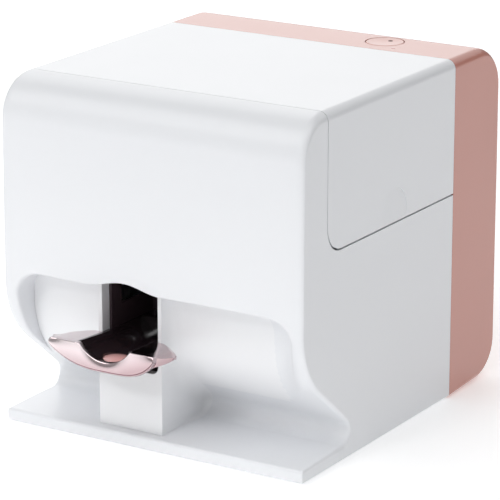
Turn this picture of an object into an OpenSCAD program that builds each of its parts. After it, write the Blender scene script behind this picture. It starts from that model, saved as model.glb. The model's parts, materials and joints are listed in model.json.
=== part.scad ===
// Desktop nail printer: a white body shell with a recessed finger port, a swing-up lid,
// a pink rear shell, and an X-Y print mechanism inside.
// Modules draw in the "body frame": y runs back from the front face, z up from the shell's underside.

/* [Body] */
// Width of the body
body_w = 210; // [190:1:240]
// Depth of the body from the front face to the back
body_d = 240; // [225:1:270]
// Height of the shells, without the feet
body_h = 216; // [205:1:240]
// Depth of the rear shell
rear_d = 60; // [50:1:70]
// Wall thickness of the moulded shells
wall = 2.5; // [2:0.1:3]
// Rounding of the long side edges
edge_r = 6; // [4:0.5:8]
// Height that the rubber feet stand out
foot_gap = 1.2; // [0.8:0.1:2]
// Gap between neighbouring shells
seam = 0.3; // [0.2:0.05:0.5]

/* [Front] */
// Radius of the front top edge
brow_r = 26; // [18:1:30]
// Radius of the front where it starts to curve under
belly_r = 53; // [45:1:58]
// Height of the centre of that curve
belly_z = 90; // [86:1:94]
// Slope of the undercut, from vertical, in degrees
belly_sweep = 51; // [48:1:54]
// Radius of the waist above the toe
waist_r = 8; // [6:0.5:9]
// Thickness of the toe plate
toe_t = 8.6; // [8:0.1:10]

/* [Recess] */
// Height of the lip over the hand recess
lip_z = 96.5; // [94:0.5:98]
// Half width of the hand recess
recess_hw = 96; // [92:0.5:98]
// Corner radius of the recess
recess_r = 16; // [10:1:20]
// Depth of the recess behind the front face
recess_y = 18; // [17:0.5:20]
// Rise of the lip over the finger port
hump_h = 4.5; // [0:0.5:6]

/* [Finger port] */
// Offset of the port from the middle of the body
port_x = -19; // [-25:1:-10]
// Half width of the column
column_hw = 22.5; // [22.5:0.5:26]
// Half width of the opening in the column
port_hw = 19.75; // [19.5:0.05:20]
// Set-back of the column from the front face
column_y = 7.5; // [6:0.5:9]
// Height of the lower edge of the opening
port_z = 46; // [44.5:0.5:46]

/* [Finger lever] */
// How far the lever stands out of the front face
lever_reach = 24; // [20:0.5:26]
// Half width of the lever across its wings
lever_hw = 39; // [36:0.5:42]
// Height of the top of the lever
lever_z = 66.5; // [66:0.5:68]
// Travel of the lever when it is pressed down
lever_travel = 6; // [3:0.5:6]

/* [Lid] */
// Set-back of the lid seam from the front face
lid_y = 27.2; // [26:0.2:32]
// Height of the lower edge of the lid's side
door_z = 131; // [125:1:140]
// Radius of the lid's lower front corner
door_r = 16; // [8:1:18]
// Gap under the lid's side
door_gap = 0.9; // [0.5:0.1:1.5]

/* [Power button] */
// Radius of the power button
button_r = 12; // [9:0.5:12.5]
// Distance of the button from the middle of the body
button_x = 43.5; // [20:0.5:60]
// Distance of the button from the back
button_back = 38; // [34:0.5:42]
// Travel of the button
button_travel = 0.8; // [0.5:0.1:1]

/* [Mechanism] */
// Half distance between the guide rods of the stage
rod_x = 76; // [74:0.5:78]
// Height of the guide rods of the stage
rod_z = 112; // [110:0.5:114]
// Radius of the stage's guide rods
rod_r = 3; // [2.5:0.1:3.5]
// Travel of the stage towards the front
stage_travel = 24; // [15:1:24]
// Travel of the print carriage to the left
carriage_travel = 70; // [55:1:72]
// Radius of the belt pulleys
pulley_r = 7; // [6:0.5:8]
// Thickness of the drive belt
belt_t = 1.2; // [1:0.1:1.5]

/* [Hidden] */
$fn = 48;

white = [0.93, 0.93, 0.94];
pink = [0.86, 0.66, 0.62];
rose_gold = [0.88, 0.66, 0.64];
black = [0.08, 0.07, 0.08];
steel = [0.75, 0.76, 0.78];
dark_grey = [0.25, 0.25, 0.27];
green = [0.05, 0.35, 0.2];

// The lever stands out in front, so the body is set back to keep the origin in the middle of it all.
front_y = (lever_reach - body_d) / 2;
split_y = body_d - rear_d;
clear = 0.25;        // clearance of a sliding or dropped-in piece
run = 0.05;          // running clearance of a shaft in its bore, on the radius
inside_hw = body_w / 2 - wall;
inside_z = body_h - wall;
flush_r = 1.6;       // rounding of the lower edges, near the table

module body_frame() { translate([0, front_y, foot_gap]) children(); }

// Extrudes a (y, z) outline along x, centred, and an (x, z) outline along y from y0 to y1.
module along_x(w) { rotate([90, 0, 90]) linear_extrude(w, center = true) children(); }
module along_y(y0, y1) { translate([0, y1, 0]) rotate([90, 0, 0]) linear_extrude(y1 - y0) children(); }
module box(lo, hi) { translate(lo) cube(hi - lo); }
module rod_y(x, z, r, y0, y1) { translate([x, y0, z]) rotate([-90, 0, 0]) cylinder(r = r, h = y1 - y0); }
module rod_x_dir(y, z, r, x0, x1) { translate([x0, y, z]) rotate([0, 90, 0]) cylinder(r = r, h = x1 - x0); }
module rod_z_dir(x, y, r, z0, z1) { translate([x, y, z0]) cylinder(r = r, h = z1 - z0); }

// ---------- outlines ----------
// A point of a shell outline is [y, z, outward normal y, z, rounding of the side edge there].
function arc(cy, cz, r, a0, a1, n, side, er) =
    [for (i = [0:n]) let (a = a0 + (a1 - a0) * i / n)
        [cy + r * cos(a), cz + r * sin(a), side * cos(a), side * sin(a), er]];

// The waist circle touches the toe and the straight undercut that leaves the belly circle.
waist_z = toe_t + waist_r;
waist_y = belly_r - (belly_r + waist_r + sin(belly_sweep) * (waist_z - belly_z)) / cos(belly_sweep);
toe_nose = 2.4;
front_outline = concat(
    [[split_y, 0, 0, -1, flush_r], [split_y, body_h, 0, 1, edge_r]],
    arc(brow_r, body_h - brow_r, brow_r, 90, 180, 12, 1, edge_r),
    arc(belly_r, belly_z, belly_r, 180, 180 + belly_sweep, 12, 1, edge_r),
    arc(waist_y, waist_z, waist_r, belly_sweep, 0, 4, -1, edge_r),
    arc(waist_y, waist_z, waist_r, -15, -90, 5, -1, 4.5),
    [[waist_y * 0.6, toe_t, 0, 1, 4], [waist_y * 0.3, toe_t, 0, 1, 3]],
    arc(toe_nose, toe_t - toe_nose, toe_nose, 90, 180, 4, 1, 1.8),
    arc(flush_r, flush_r, flush_r, 180, 270, 3, 1, flush_r * 0.8));

rear_r = 27;
rear_foot_r = 24;
rear_outline = concat(
    [[split_y + seam, body_h, 0, 1, edge_r], [split_y + seam, 0, 0, -1, flush_r]],
    arc(body_d - rear_foot_r, rear_foot_r, rear_foot_r, -90, 0, 10, 1, 4.5),
    arc(body_d - rear_r, body_h - rear_r, rear_r, 0, 90, 10, 1, edge_r));

function shrunk(outline, by) = [for (p = outline) [p[0] - by * p[2], p[1] - by * p[3]]];

// A rectangle with round corners, larger at the top than at the bottom.
module round_rect(lo, hi, top_r, low_r) {
    difference() {
        translate(lo) square(hi - lo);
        for (s = [0, 1], t = [0, 1]) let (r = t ? top_r : low_r) translate([s ? hi[0] : lo[0], t ? hi[1] : lo[1]])
            mirror([s, 0]) mirror([0, t]) difference() {
                translate([-1, -1]) square(r + 1);
                translate([r, r]) circle(r);
            }
    }
}
// The outline across the whole width, with its long and upright edges rounded.
module rounded_slab(outline) {
    intersection() {
        along_x(body_w) polygon([for (p = outline) [p[0], p[1]]]);
        along_y(-1, body_d + 1) round_rect([-body_w / 2, 0], [body_w / 2, body_h], edge_r, flush_r);
        translate([0, 0, -1]) linear_extrude(body_h + 2) round_rect([-body_w / 2, 0], [body_w / 2, body_d], edge_r, edge_r);
    }
}

// ---------- hand recess ----------
// Its back wall leaves the undercut tangentially and ends upright.
recess_start = 10;   // length of the undercut below the belly that stays outside the recess
join_y = belly_r * (1 - cos(belly_sweep)) + sin(belly_sweep) * recess_start;
join_z = belly_z - belly_r * sin(belly_sweep) - cos(belly_sweep) * recess_start;
panel_r = (join_y - recess_y) / (1 - cos(belly_sweep));
panel_cy = join_y + cos(belly_sweep) * panel_r;
panel_cz = join_z + sin(belly_sweep) * panel_r;
panel_t = 2.5;
panel_top = 106;
function panel_face(back) = [for (p = arc(panel_cy, panel_cz, panel_r - back, 180 + belly_sweep, 180, 10, 1, 0))
    [p[0], p[1]]];

hump_hw = 27;
function lip(x) = abs(x - port_x) < hump_hw
    ? lip_z + hump_h * (1 + cos(180 * (x - port_x) / hump_hw)) / 2 : lip_z;
function lip_line(grow) = [for (i = [0:24]) let (x = port_x + hump_hw * (1 - i / 12)) [x, lip(x) + grow]];
// Front view of the recess, grown by a wall or shrunk by a clearance.
function recess_outline(grow, low) = let (hw = recess_hw + grow, r = recess_r + grow) concat(
    [[-hw, low], [hw, low]],
    [for (i = [0:8]) [hw - r + r * cos(90 * i / 8), lip_z + grow - r + r * sin(90 * i / 8)]],
    lip_line(grow),
    [for (i = [0:8]) [-hw + r - r * sin(90 * i / 8), lip_z + grow - r + r * cos(90 * i / 8)]]);

module in_front_of_panel(back = 0) {
    along_x(body_w + 2) polygon(concat(
        [[-30, panel_top + 5], [-30, join_z]], panel_face(back), [[recess_y + back, panel_top + 5]]));
}
module panel_slab(gap) {   // the panel with a gap all round it
    along_x(2 * (recess_hw - 0.15 + gap)) polygon(concat(
        [for (p = panel_face(-gap)) p], [[recess_y - gap, panel_top + gap], [recess_y + panel_t + gap, panel_top + gap]],
        [for (i = [10:-1:0]) panel_face(panel_t + gap)[i]]));
}

// ---------- white body ----------
hinge_x = -body_w / 2 + edge_r;
hinge_z = body_h - edge_r;
pin_r = 1.5;
rib_count = 7;

module cavity() {
    along_x(2 * inside_hw) polygon(concat(
        [[split_y + 1, wall], [split_y + 1, inside_z]],
        shrunk(arc(brow_r, body_h - brow_r, brow_r, 90, 180, 12, 1, 0), wall),
        shrunk(arc(belly_r, belly_z, belly_r, 180, 180 + belly_sweep, 12, 1, 0), wall),
        shrunk(arc(waist_y, waist_z, waist_r, belly_sweep, 0, 4, -1, 0), wall),
        [[waist_y + waist_r + wall, wall]]));
}

// Everything above the lower edge of the lid's side, with the rounded front corner.
module door_outline(y0, low, r) {
    polygon(concat(
        [[y0, body_h + 5], [y0, low + r]],
        [for (i = [1:8]) [y0 + r - r * cos(90 * i / 8), low + r - r * sin(90 * i / 8)]],
        [[split_y + 5, low], [split_y + 5, body_h + 5]]));
}

module main_shell() {
    color(white) body_frame() difference() {
        union() {
            difference() {
                rounded_slab(front_outline);
                cavity();
            }
            recess_sleeve();
            hinge_boss(lid_y - seam - 8, lid_y - seam);
        }
        intersection() {
            along_y(-30, recess_y + 20) polygon(recess_outline(0, 20));
            in_front_of_panel();
        }
        panel_slab(0.1);
        lid_cut();
        rod_y(hinge_x, hinge_z, pin_r, lid_y - seam - 8, lid_y + 1);
        bottom_opening(waist_y + waist_r + 8, split_y + 1);
        toe_hollow();
    }
}

// Walls round the recess, from the front wall back to the panel.
module recess_sleeve() {
    intersection() {
        along_y(1, recess_y + 20) difference() {
            polygon(recess_outline(wall, join_z + 4));
            polygon(recess_outline(0, join_z + 2));
        }
        in_front_of_panel(panel_t);
        along_x(body_w) polygon(concat([[60, 10], [60, body_h]],
            shrunk(arc(belly_r, belly_z, belly_r, 180, 180 + belly_sweep, 12, 1, 0), 1.2), [[55, 10]]));
    }
}

module hinge_boss(y0, y1) {
    difference() {
        along_y(y0, y1) polygon([[-inside_hw - 0.5, hinge_z - 6], [-inside_hw + 10, hinge_z - 6],
            [-inside_hw + 10, inside_z + 0.5], [-inside_hw + 1.5, inside_z + 0.5], [-inside_hw - 0.5, inside_z - 2]]);
        rod_y(hinge_x, hinge_z, pin_r, y0 - 1, y1 + 1);
    }
}

module lid_cut() {
    // right side and top
    translate([edge_r + 4, 0, 0]) along_x(body_w)
        door_outline(lid_y - seam, door_z, door_r);
    // the barrel along the left edge turns in a hollow of the wall
    rod_y(hinge_x, hinge_z, edge_r + seam, lid_y - seam, split_y + 1);
    box([-body_w / 2 - 1, lid_y - seam, hinge_z - 2], [hinge_x + 5, split_y + 1, body_h + 1]);
}

module bottom_opening(y0, y1) {
    box([-inside_hw + 5, y0, -1], [inside_hw - 5, y1, wall + 1]);
}

foot_r = 7;
foot_x = body_w / 2 - 17;
foot_front_y = 20;
foot_rear_y = body_d - 38;
toe_top = 2.2;       // thickness of the toe plate's skin
module toe_hollow() {
    difference() {
        box([-body_w / 2 + 6, 5, -1], [body_w / 2 - 6, waist_y, toe_t - toe_top]);
        for (i = [1:rib_count]) {
            x = -body_w / 2 + i * body_w / (rib_count + 1);
            box([x - 0.8, 4, -2], [x + 0.8, waist_y + 1, toe_t]);
        }
        for (s = [-1, 1]) rod_z_dir(s * foot_x, foot_front_y, foot_r + 1.5, -2, toe_t);
    }
}

// Back wall of the recess, and the column with the finger port.
passage_z = port_z - 2;
module recess_panel() {
    corner = 4.5;
    color(white) body_frame() difference() {
        union() {
            panel_slab(0);
            intersection() {
                box([port_x - column_hw, column_y, toe_t + 0.1], [port_x + column_hw, waist_y + waist_r, 110]);
                along_y(-1, 70) polygon(concat([[port_x + 26.9, 0]], lip_line(-0.1), [[port_x - 26.9, 0]]));
                along_x(body_w) polygon(concat(
                    [[-1, toe_t + 0.1], [waist_y, toe_t + 0.1]],
                    [for (i = [0:8]) let (a = -90 + (90 + belly_sweep) * i / 8)
                        [waist_y + (waist_r - 0.1) * cos(a), waist_z + (waist_r - 0.1) * sin(a)]],
                    [[join_y - 0.1 * cos(belly_sweep), join_z - 0.1 * sin(belly_sweep)]],
                    [for (i = [2:10]) panel_face(1)[i]], [[recess_y + 1, 110], [-1, 110]]));
            }
        }
        // opening in the column's face, with rounded lower corners
        along_y(column_y - 1, recess_y - 5) polygon(concat(
            [[port_x + port_hw, 120], [port_x - port_hw, 120]],
            [for (i = [0:6]) [port_x - port_hw + corner - corner * cos(15 * i), port_z + corner - corner * sin(15 * i)]],
            [for (i = [6:-1:0]) [port_x + port_hw - corner + corner * cos(15 * i), port_z + corner - corner * sin(15 * i)]]));
        box([port_x - port_hw, recess_y - 5.5, passage_z], [port_x + port_hw, 60, 120]);
        // the lower column is a shell
        box([port_x - column_hw + 2.6, column_y + 2.6, toe_t], [port_x + column_hw - 2.6, waist_y + waist_r, passage_z - 2.5]);
    }
}

// ---------- pink rear shell ----------
inlet_x = 50;
inlet_z = 30;
vent_count = 9;
button_y = body_d - button_back;
lamp_x = 57.5;
lamp_y = body_d - 52.5;
guide_r = button_r + 1.8;    // bore of the ring under the button
module rear_shell() {
    color(pink) body_frame() difference() {
        union() {
            difference() {
                rounded_slab(rear_outline);
                along_x(2 * inside_hw) polygon(concat(
                    [[split_y - 1, inside_z], [split_y - 1, wall]], shrunk(arc(body_d - rear_foot_r, rear_foot_r,
                    rear_foot_r, -90, 0, 10, 1, 0), wall),
                    shrunk(arc(body_d - rear_r, body_h - rear_r, rear_r, 0, 90, 10, 1, 0), wall)));
            }
            hinge_boss(split_y + seam, split_y + 12);
            rod_z_dir(button_x, button_y, guide_r + 1.5, inside_z - 12, inside_z + 1);
            for (s = [-1, 1]) rod_z_dir(button_x + s * (guide_r - 2), button_y, 3, inside_z - 16, inside_z - 11);
            for (x = board_post_x, z = board_post_z) rod_y(x, z, 3, board_y + board_t, body_d - wall + 0.5);
        }
        for (x = board_post_x, z = board_post_z) rod_y(x, z, 1.45, board_y, body_d - wall - 4);
        rod_y(hinge_x, hinge_z, pin_r, split_y - 1, split_y + 10);
        // button, its flange and its stem
        rod_z_dir(button_x, button_y, button_r + clear, inside_z - 5, body_h + 1);
        rod_z_dir(button_x, button_y, guide_r, inside_z - 10.5, inside_z);
        rod_z_dir(button_x, button_y, stem_r + clear, inside_z - 20, inside_z - 9);
        rod_z_dir(lamp_x, lamp_y, lamp_r, inside_z - 3, body_h + 1);
        // vents and the power inlet
        for (i = [0:vent_count - 1]) translate([(i - (vent_count - 1) / 2) * 8, 0, 150]) vent_slot();
        box([inlet_x - 4.6 - clear, body_d - 6, inlet_z - 5.5 - clear], [inlet_x + 4.6 + clear, body_d + 1, inlet_z + 5.5 + clear]);
        box([-inside_hw + 5, split_y - 1, -1], [inside_hw - 5, plate_y1 - 5, wall + 1]);
    }
}
module vent_slot() {
    box([-1.25, body_d - 6, -14], [1.25, body_d + 1, 14]);
    for (z = [-14, 14]) rod_y(0, z, 1.25, body_d - 6, body_d + 1);
}

// ---------- underside ----------
plate_t = 2.5;
plate_z = wall;                      // the plate lies on the shells' inner ledges
floor_z = plate_z + plate_t + 3;     // top of the posts that carry the chassis
plate_y0 = waist_y + waist_r + wall + clear;
plate_y1 = body_d - rear_foot_r;
screw_at = [for (s = [-1, 1], y = [plate_y0 + 20, split_y - 18]) [s * (rod_x + 4), y]];
module base_plate() {
    color(dark_grey) body_frame() difference() {
        union() {
            box([-inside_hw + clear, plate_y0, plate_z], [inside_hw - clear, plate_y1, plate_z + plate_t]);
            for (p = screw_at) rod_z_dir(p[0], p[1], 4.5, plate_z, floor_z);
            for (s = [-1, 1]) rod_z_dir(s * foot_x, foot_rear_y, foot_r + 1.5, wall - 1.9, plate_z + 0.5);
        }
        for (p = screw_at) {
            rod_z_dir(p[0], p[1], 1.5, plate_z - 1, floor_z + 1);
            rod_z_dir(p[0], p[1], 3.2, plate_z - 1, plate_z + 1.8);
        }
        for (s = [-1, 1]) rod_z_dir(s * foot_x, foot_rear_y, foot_r, -1, plate_z - 0.5);
        for (i = [0:8]) box([-40 + 10 * i - 1.5, 105, 0], [-40 + 10 * i + 1.5, 140, 10]);
    }
}
module rubber_feet() {
    color(dark_grey) body_frame() {
        for (s = [-1, 1]) rod_z_dir(s * foot_x, foot_front_y, foot_r, -foot_gap, 0);
        for (s = [-1, 1]) rod_z_dir(s * foot_x, foot_rear_y, foot_r - 0.1, -foot_gap, plate_z - 0.5);
    }
}
module base_screws() {
    color(steel) body_frame() for (p = screw_at) {
        rod_z_dir(p[0], p[1], 1.45, plate_z + 1.8, floor_z + 6);
        difference() {
            rod_z_dir(p[0], p[1], 3, plate_z + 0.2, plate_z + 1.8);
            box([p[0] - 0.4, p[1] - 1.6, plate_z - 1], [p[0] + 0.4, p[1] + 1.6, plate_z + 0.9]);
            box([p[0] - 1.6, p[1] - 0.4, plate_z - 1], [p[0] + 1.6, p[1] + 0.4, plate_z + 0.9]);
        }
    }
}

// ---------- lid ----------
lid_y0 = lid_y;
lid_y1 = split_y;
notch_y = 106;       // middle of the thumb notch
notch_r = 15;
notch_z = door_z + 7;
notch_depth = 2.2;
function lid_section(inset) = concat(
    [[hinge_x, body_h - inset]],
    [for (i = [0:8]) [body_w / 2 - edge_r + (edge_r - inset) * sin(90 * i / 8), body_h - edge_r + (edge_r - inset) * cos(90 * i / 8)]],
    [[body_w / 2 - inset, door_z + door_gap]]);
module lid() {
    outer = lid_section(0);
    inner = lid_section(wall);
    color(white) body_frame() difference() {
        union() {
            intersection() {
                along_y(lid_y0, lid_y1) polygon(concat(outer, [for (i = [len(inner) - 1:-1:0]) inner[i]]));
                along_x(body_w + 2) door_outline(lid_y0, door_z + door_gap, door_r - seam);
            }
            rod_y(hinge_x, hinge_z, edge_r, lid_y0, lid_y1);
            // backing of the thumb notch, with the seat of the magnet
            box([inside_hw - 5, notch_y - 18, door_z + door_gap], [inside_hw + 0.5, notch_y + 18, notch_z + notch_r + 3]);
            for (y = [lid_y0 + 22, (lid_y0 + lid_y1) / 2, lid_y1 - 22])
                box([hinge_x, y - 0.8, inside_z - 4], [inside_hw - 6, y + 0.8, inside_z + 0.5]);
        }
        // bores for the hinge pins
        rod_y(hinge_x, hinge_z, pin_r + run, lid_y0 - 1, lid_y0 + 10);
        rod_y(hinge_x, hinge_z, pin_r + run, lid_y1 - 10, lid_y1 + 1);
        // thumb notch: a round scoop, flush at its foot and deepest under its upper rim
        translate([body_w / 2 - notch_depth, notch_y, notch_z + notch_r]) rotate([0, -8, 0])
            translate([0, 0, -notch_r]) rotate([0, 90, 0]) cylinder(r = notch_r, h = 20);
        rod_x_dir(notch_y - 14, door_z + 20, 4 + clear, inside_hw - 6, inside_hw - 1.5);
    }
}
module lid_magnet() {
    color(steel) body_frame() rod_x_dir(notch_y - 14, door_z + 20, 4, inside_hw - 4.5, inside_hw - 1.5);
}
module strike_plate() {
    x1 = inside_hw - 5 - seam;
    color(steel) body_frame() union() {
        box([x1 - 1.2, notch_y - 22, door_z - 5], [x1, notch_y - 6, door_z + 26]);
        box([chassis_x + chassis_t, notch_y - 22, door_z - 5], [x1, notch_y - 6, door_z - 3.8]);
        box([chassis_x + chassis_t, notch_y - 22, door_z - 18], [chassis_x + chassis_t + 1.2, notch_y - 6, door_z - 3.8]);
    }
}
module hinge_pins() {
    color(steel) body_frame() {
        rod_y(hinge_x, hinge_z, pin_r, lid_y - seam - 8, lid_y0 + 9);
        rod_y(hinge_x, hinge_z, pin_r, lid_y1 - 9, split_y + 10);
    }
}

// ---------- power button ----------
stem_r = 2.5;
lamp_r = 1.3;
flange_z = inside_z - 0.1;    // top of the cap's flange
module power_button() {
    color(pink) body_frame() {
        difference() {
            rod_z_dir(button_x, button_y, button_r, flange_z, body_h);
            translate([button_x, button_y, body_h + 89.3]) sphere(r = 90, $fn = 96);
        }
        rod_z_dir(button_x, button_y, button_r + 1.3, flange_z - 1.2, flange_z);
        rod_z_dir(button_x, button_y, stem_r, inside_z - 13.3, flange_z);
    }
}
module button_spring() {
    z0 = inside_z - 10.5;
    z1 = flange_z - 1.2;
    color(steel) body_frame() translate([button_x, button_y, z0]) coil(4.5, 0.35, z1 - z0, 4);
}
module switch_board() {
    color(green) body_frame() {
        box([button_x - 17, button_y - 8, inside_z - 17.6], [button_x + 17, button_y + 8, inside_z - 16]);
        box([button_x - 3, button_y - 3, inside_z - 16.1], [button_x + 3, button_y + 3, inside_z - 13.4 - button_travel]);
    }
}
module status_lamp() {
    color(white) body_frame() rod_z_dir(lamp_x, lamp_y, lamp_r, inside_z - 1, body_h);
}

// An unbroken helical wire of a given height, from z = 0.
module coil(r, wire, height, turns) {
    steps = turns * 10;
    sides = 6;
    points = [for (i = [0:steps], k = [0:sides - 1]) let (a = 360 * turns * i / steps, b = 360 * k / sides,
        z = wire + (height - 2 * wire) * i / steps)
        [(r + wire * cos(b)) * cos(a), (r + wire * cos(b)) * sin(a), z + wire * sin(b)]];
    faces = concat(
        [for (i = [0:steps - 1], k = [0:sides - 1]) let (a = i * sides + k, b = i * sides + (k + 1) % sides)
            each [[a, b + sides, b], [a, a + sides, b + sides]]],
        [for (k = [1:sides - 2]) [0, k, k + 1]],
        [for (k = [1:sides - 2]) [steps * sides, steps * sides + k + 1, steps * sides + k]]);
    polyhedron(points, faces);
}

// ---------- finger lever and cradle ----------
trough_z = 57;               // bottom of the finger trough
tail_trough_z = trough_z - 0.8;
function sag_r(hw, depth) = (hw * hw + depth * depth) / (2 * depth);
cradle_z = port_z + lever_travel + 0.5;    // underside of the cradle
cradle_hw = port_hw - 0.55;  // in the opening
liner_t = 1.5;
liner_hw = port_hw - clear;
tail_hw = liner_hw - liner_t - 0.4;
tail_y = recess_y - 4.5;
block_y0 = 46;
block_y1 = 57;
pin_x = 11;
pin_y = 51.5;
pad_y = -7;
pad_r = 8;
crescent_t = 4;
lever_tilt = 0.065;          // the lever rises towards the front
function lever_top(y) = lever_z + max(column_y - y, 0) * lever_tilt;
module lever_side() {        // side view of the lever, below its rising top
    along_x(3 * body_w) polygon([[-40, 30], [90, 30], [90, lever_z], [column_y, lever_z], [-40, lever_top(-40)]]);
}
spring_seat = 60;
module cradle_section(hw, r) {   // front view, with round lower corners
    polygon(concat(
        [[port_x + hw, lever_z + 6], [port_x - hw, lever_z + 6]],
        [for (i = [0:6]) [port_x - hw + r - r * cos(15 * i), cradle_z + r - r * sin(15 * i)]],
        [for (i = [6:-1:0]) [port_x + hw - r + r * cos(15 * i), cradle_z + r - r * sin(15 * i)]]));
}
module finger_cradle() {
    front_r = sag_r(cradle_hw - 1.2, lever_top(crescent_t - lever_reach) - trough_z);
    tail_r = sag_r(tail_hw - 1.2, lever_z - tail_trough_z);
    color(black) body_frame() difference() {
        intersection() {
            union() {
                along_y(-lever_reach + crescent_t, tail_y) cradle_section(cradle_hw, 5);
                along_y(tail_y - 1, block_y1) cradle_section(tail_hw, 3);
            }
            lever_side();
        }
        rod_y(port_x, trough_z + front_r, front_r, -30, tail_y - 1);
        rod_y(port_x, tail_trough_z + tail_r, tail_r, tail_y - 2, block_y0);
        rod_z_dir(port_x, pad_y, pad_r + 0.1, trough_z - 2, 80);
        for (s = [-1, 1]) {
            rod_z_dir(port_x + s * pin_x, pin_y, pin_r + run, cradle_z - 1, lever_z + 1);
            rod_z_dir(port_x + s * pin_x, pin_y, 3.4, cradle_z - 1, spring_seat);
        }
    }
}
module finger_pad() {
    color(rose_gold) body_frame() intersection() {
        rod_z_dir(port_x, pad_y, pad_r, trough_z - 2, trough_z + 2.4);
        translate([port_x, pad_y, trough_z + 1.8 - 24]) sphere(r = 24, $fn = 72);
    }
}

// Lower edge of the lever, seen from the front. Its ends are rounded.
end_r = 2.6;
plate_hw = lever_hw - 2;     // half width of the front plate
function lever_low(x, hw) = cradle_z + (lever_z - 2 - cradle_z) * pow(abs(x) / hw, 3.1);
notch_hw = 17.4;
notch_low = 59.3;
notch_top = lever_top(crescent_t - lever_reach);
notch_cz = notch_low + (pow(notch_hw, 2) + pow(notch_top - notch_low, 2)) / (2 * (notch_top - notch_low));
module lever_face(hw) {    // front view of the lever, out to hw
    polygon(concat(
        [for (i = [-16:16]) [port_x + hw * i / 16, lever_low(hw * i / 16, hw)]],
        [[port_x + hw, lever_z + 8], [port_x - hw, lever_z + 8]]));
}
wing_r = 23.5;               // corner of the wings, seen from above
wing_cy = column_y - wing_r;
module lever_wings() {
    front = crescent_t + 0.15 - lever_reach;    // the front plate stops at a thin seam
    last = acos((cradle_hw + 1.5 - lever_hw + wing_r) / wing_r);
    color(rose_gold) body_frame() intersection() {
        along_y(-30, 10) lever_face(lever_hw);
        lever_side();
        along_x(3 * body_w) polygon([[-40, 40], [-12, cradle_z], [column_y, 60.5], [column_y, 90], [-40, 90]]);
        for (s = [0, 1]) translate([port_x, 0, 40]) mirror([s, 0, 0]) linear_extrude(40) polygon(concat(
            [[cradle_hw, wing_cy + wing_r * sin(last)], [cradle_hw, front], [lever_hw - wing_r + sqrt(pow(wing_r, 2) - pow(wing_cy - front, 2)), front]],
            [for (i = [0:12]) [lever_hw - wing_r + wing_r * cos(last * i / 12), wing_cy + wing_r * sin(last * i / 12)]]));
    }
}
module lever_front() {
    color(rose_gold) body_frame() difference() {
        intersection() {
            along_y(-lever_reach, crescent_t - lever_reach) offset(end_r) offset(-end_r) lever_face(plate_hw);
            lever_side();
        }
        rod_y(port_x, notch_cz, notch_cz - notch_low, -40, 10);
    }
}

liner_z = passage_z + 0.2;
chamber_y = 60;
module guide_pins() {
    color(steel) body_frame() for (s = [-1, 1])
        rod_z_dir(port_x + s * pin_x, pin_y, pin_r, liner_z + liner_t, lever_z + 3);
}
module cradle_springs() {
    color(steel) body_frame() for (s = [-1, 1])
        translate([port_x + s * pin_x, pin_y, liner_z + liner_t]) coil(2.5, 0.35, spring_seat - liner_z - liner_t, 6);
}
// Black liner behind the port: a trough that keeps light out, open above for the print head.
module finger_chamber() {
    front = recess_y - 3;
    hood_y = chassis_y0 - 2;
    color(black) body_frame() difference() {
        union() {
            box([port_x - liner_hw, front, liner_z], [port_x + liner_hw, chamber_y + liner_t, 80]);
            box([port_x - liner_hw, front, liner_z], [port_x + liner_hw, hood_y + 2, lip_z - 1]);
            box([port_x - liner_hw - 5, hood_y, liner_z + 12], [port_x + liner_hw + 5, hood_y + 2, lip_z + 8]);
        }
        box([port_x - liner_hw + liner_t, front - 1, liner_z + liner_t], [port_x + liner_hw - liner_t, chamber_y, lip_z - 1 + 30]);
    }
}

// ---------- chassis ----------
chassis_x = rod_x + 10;
chassis_t = 1.6;
chassis_y0 = recess_y + 8;
chassis_y1 = split_y - 8;
chassis_z1 = rod_z + 16;
screw_z = rod_z - 20;        // height of the lead screw
module side_plate(x) {
    difference() {
        translate([x + chassis_t / 2, 0, 0]) along_x(chassis_t) difference() {
            polygon([[chassis_y0, chassis_z1], [chassis_y0, 66], [36, 52], [66, 24], [66, floor_z],
                [chassis_y1 + chassis_t, floor_z], [chassis_y1 + chassis_t, chassis_z1]]);
            polygon([[46, screw_z + 8], [46, 66], [76, 36], [110, 36], [110, screw_z + 8]]);
            polygon([[120, screw_z + 8], [120, 36], [chassis_y1 - 14, 36], [chassis_y1 - 14, screw_z + 8]]);
        }
    }
}
module chassis_left() { color(steel) body_frame() side_plate(-chassis_x - chassis_t); }
module chassis_right() { color(steel) body_frame() side_plate(chassis_x); }
module chassis_floor() {
    color(steel) body_frame() difference() {
        box([-chassis_x, plate_y0 + 4, floor_z], [chassis_x, chassis_y1, floor_z + chassis_t]);
        for (p = screw_at) rod_z_dir(p[0], p[1], 1.45, floor_z - 1, floor_z + 5);
        box([26 - chassis_x, plate_y0 + 36, floor_z - 1], [20, chassis_y1 - 22, floor_z + 5]);
    }
}
module chassis_front() {
    color(steel) body_frame() difference() {
        box([-chassis_x, chassis_y0, 84], [chassis_x, chassis_y0 + 2, chassis_z1]);
        box([port_x - liner_hw - 0.2, chassis_y0 - 1, 80], [port_x + liner_hw + 0.2, chassis_y0 + 3, lip_z + 5]);
        for (s = [-1, 1]) rod_y(s * rod_x, rod_z, rod_r, chassis_y0 - 1, chassis_y0 + 3);
        rod_y(rod_x, screw_z, 2 + run, chassis_y0 - 1, chassis_y0 + 3);
    }
}
module chassis_rear() {
    color(steel) body_frame() difference() {
        box([-chassis_x, chassis_y1, floor_z], [chassis_x, chassis_y1 + chassis_t, chassis_z1]);
        for (s = [-1, 1]) rod_y(s * rod_x, rod_z, rod_r, chassis_y1 - 1, chassis_y1 + 3);
        rod_y(rod_x, screw_z, 4, chassis_y1 - 1, chassis_y1 + 3);
        box([36 - chassis_x, chassis_y1 - 1, 30], [30, chassis_y1 + 5, screw_z + 8]);
    }
}
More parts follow.
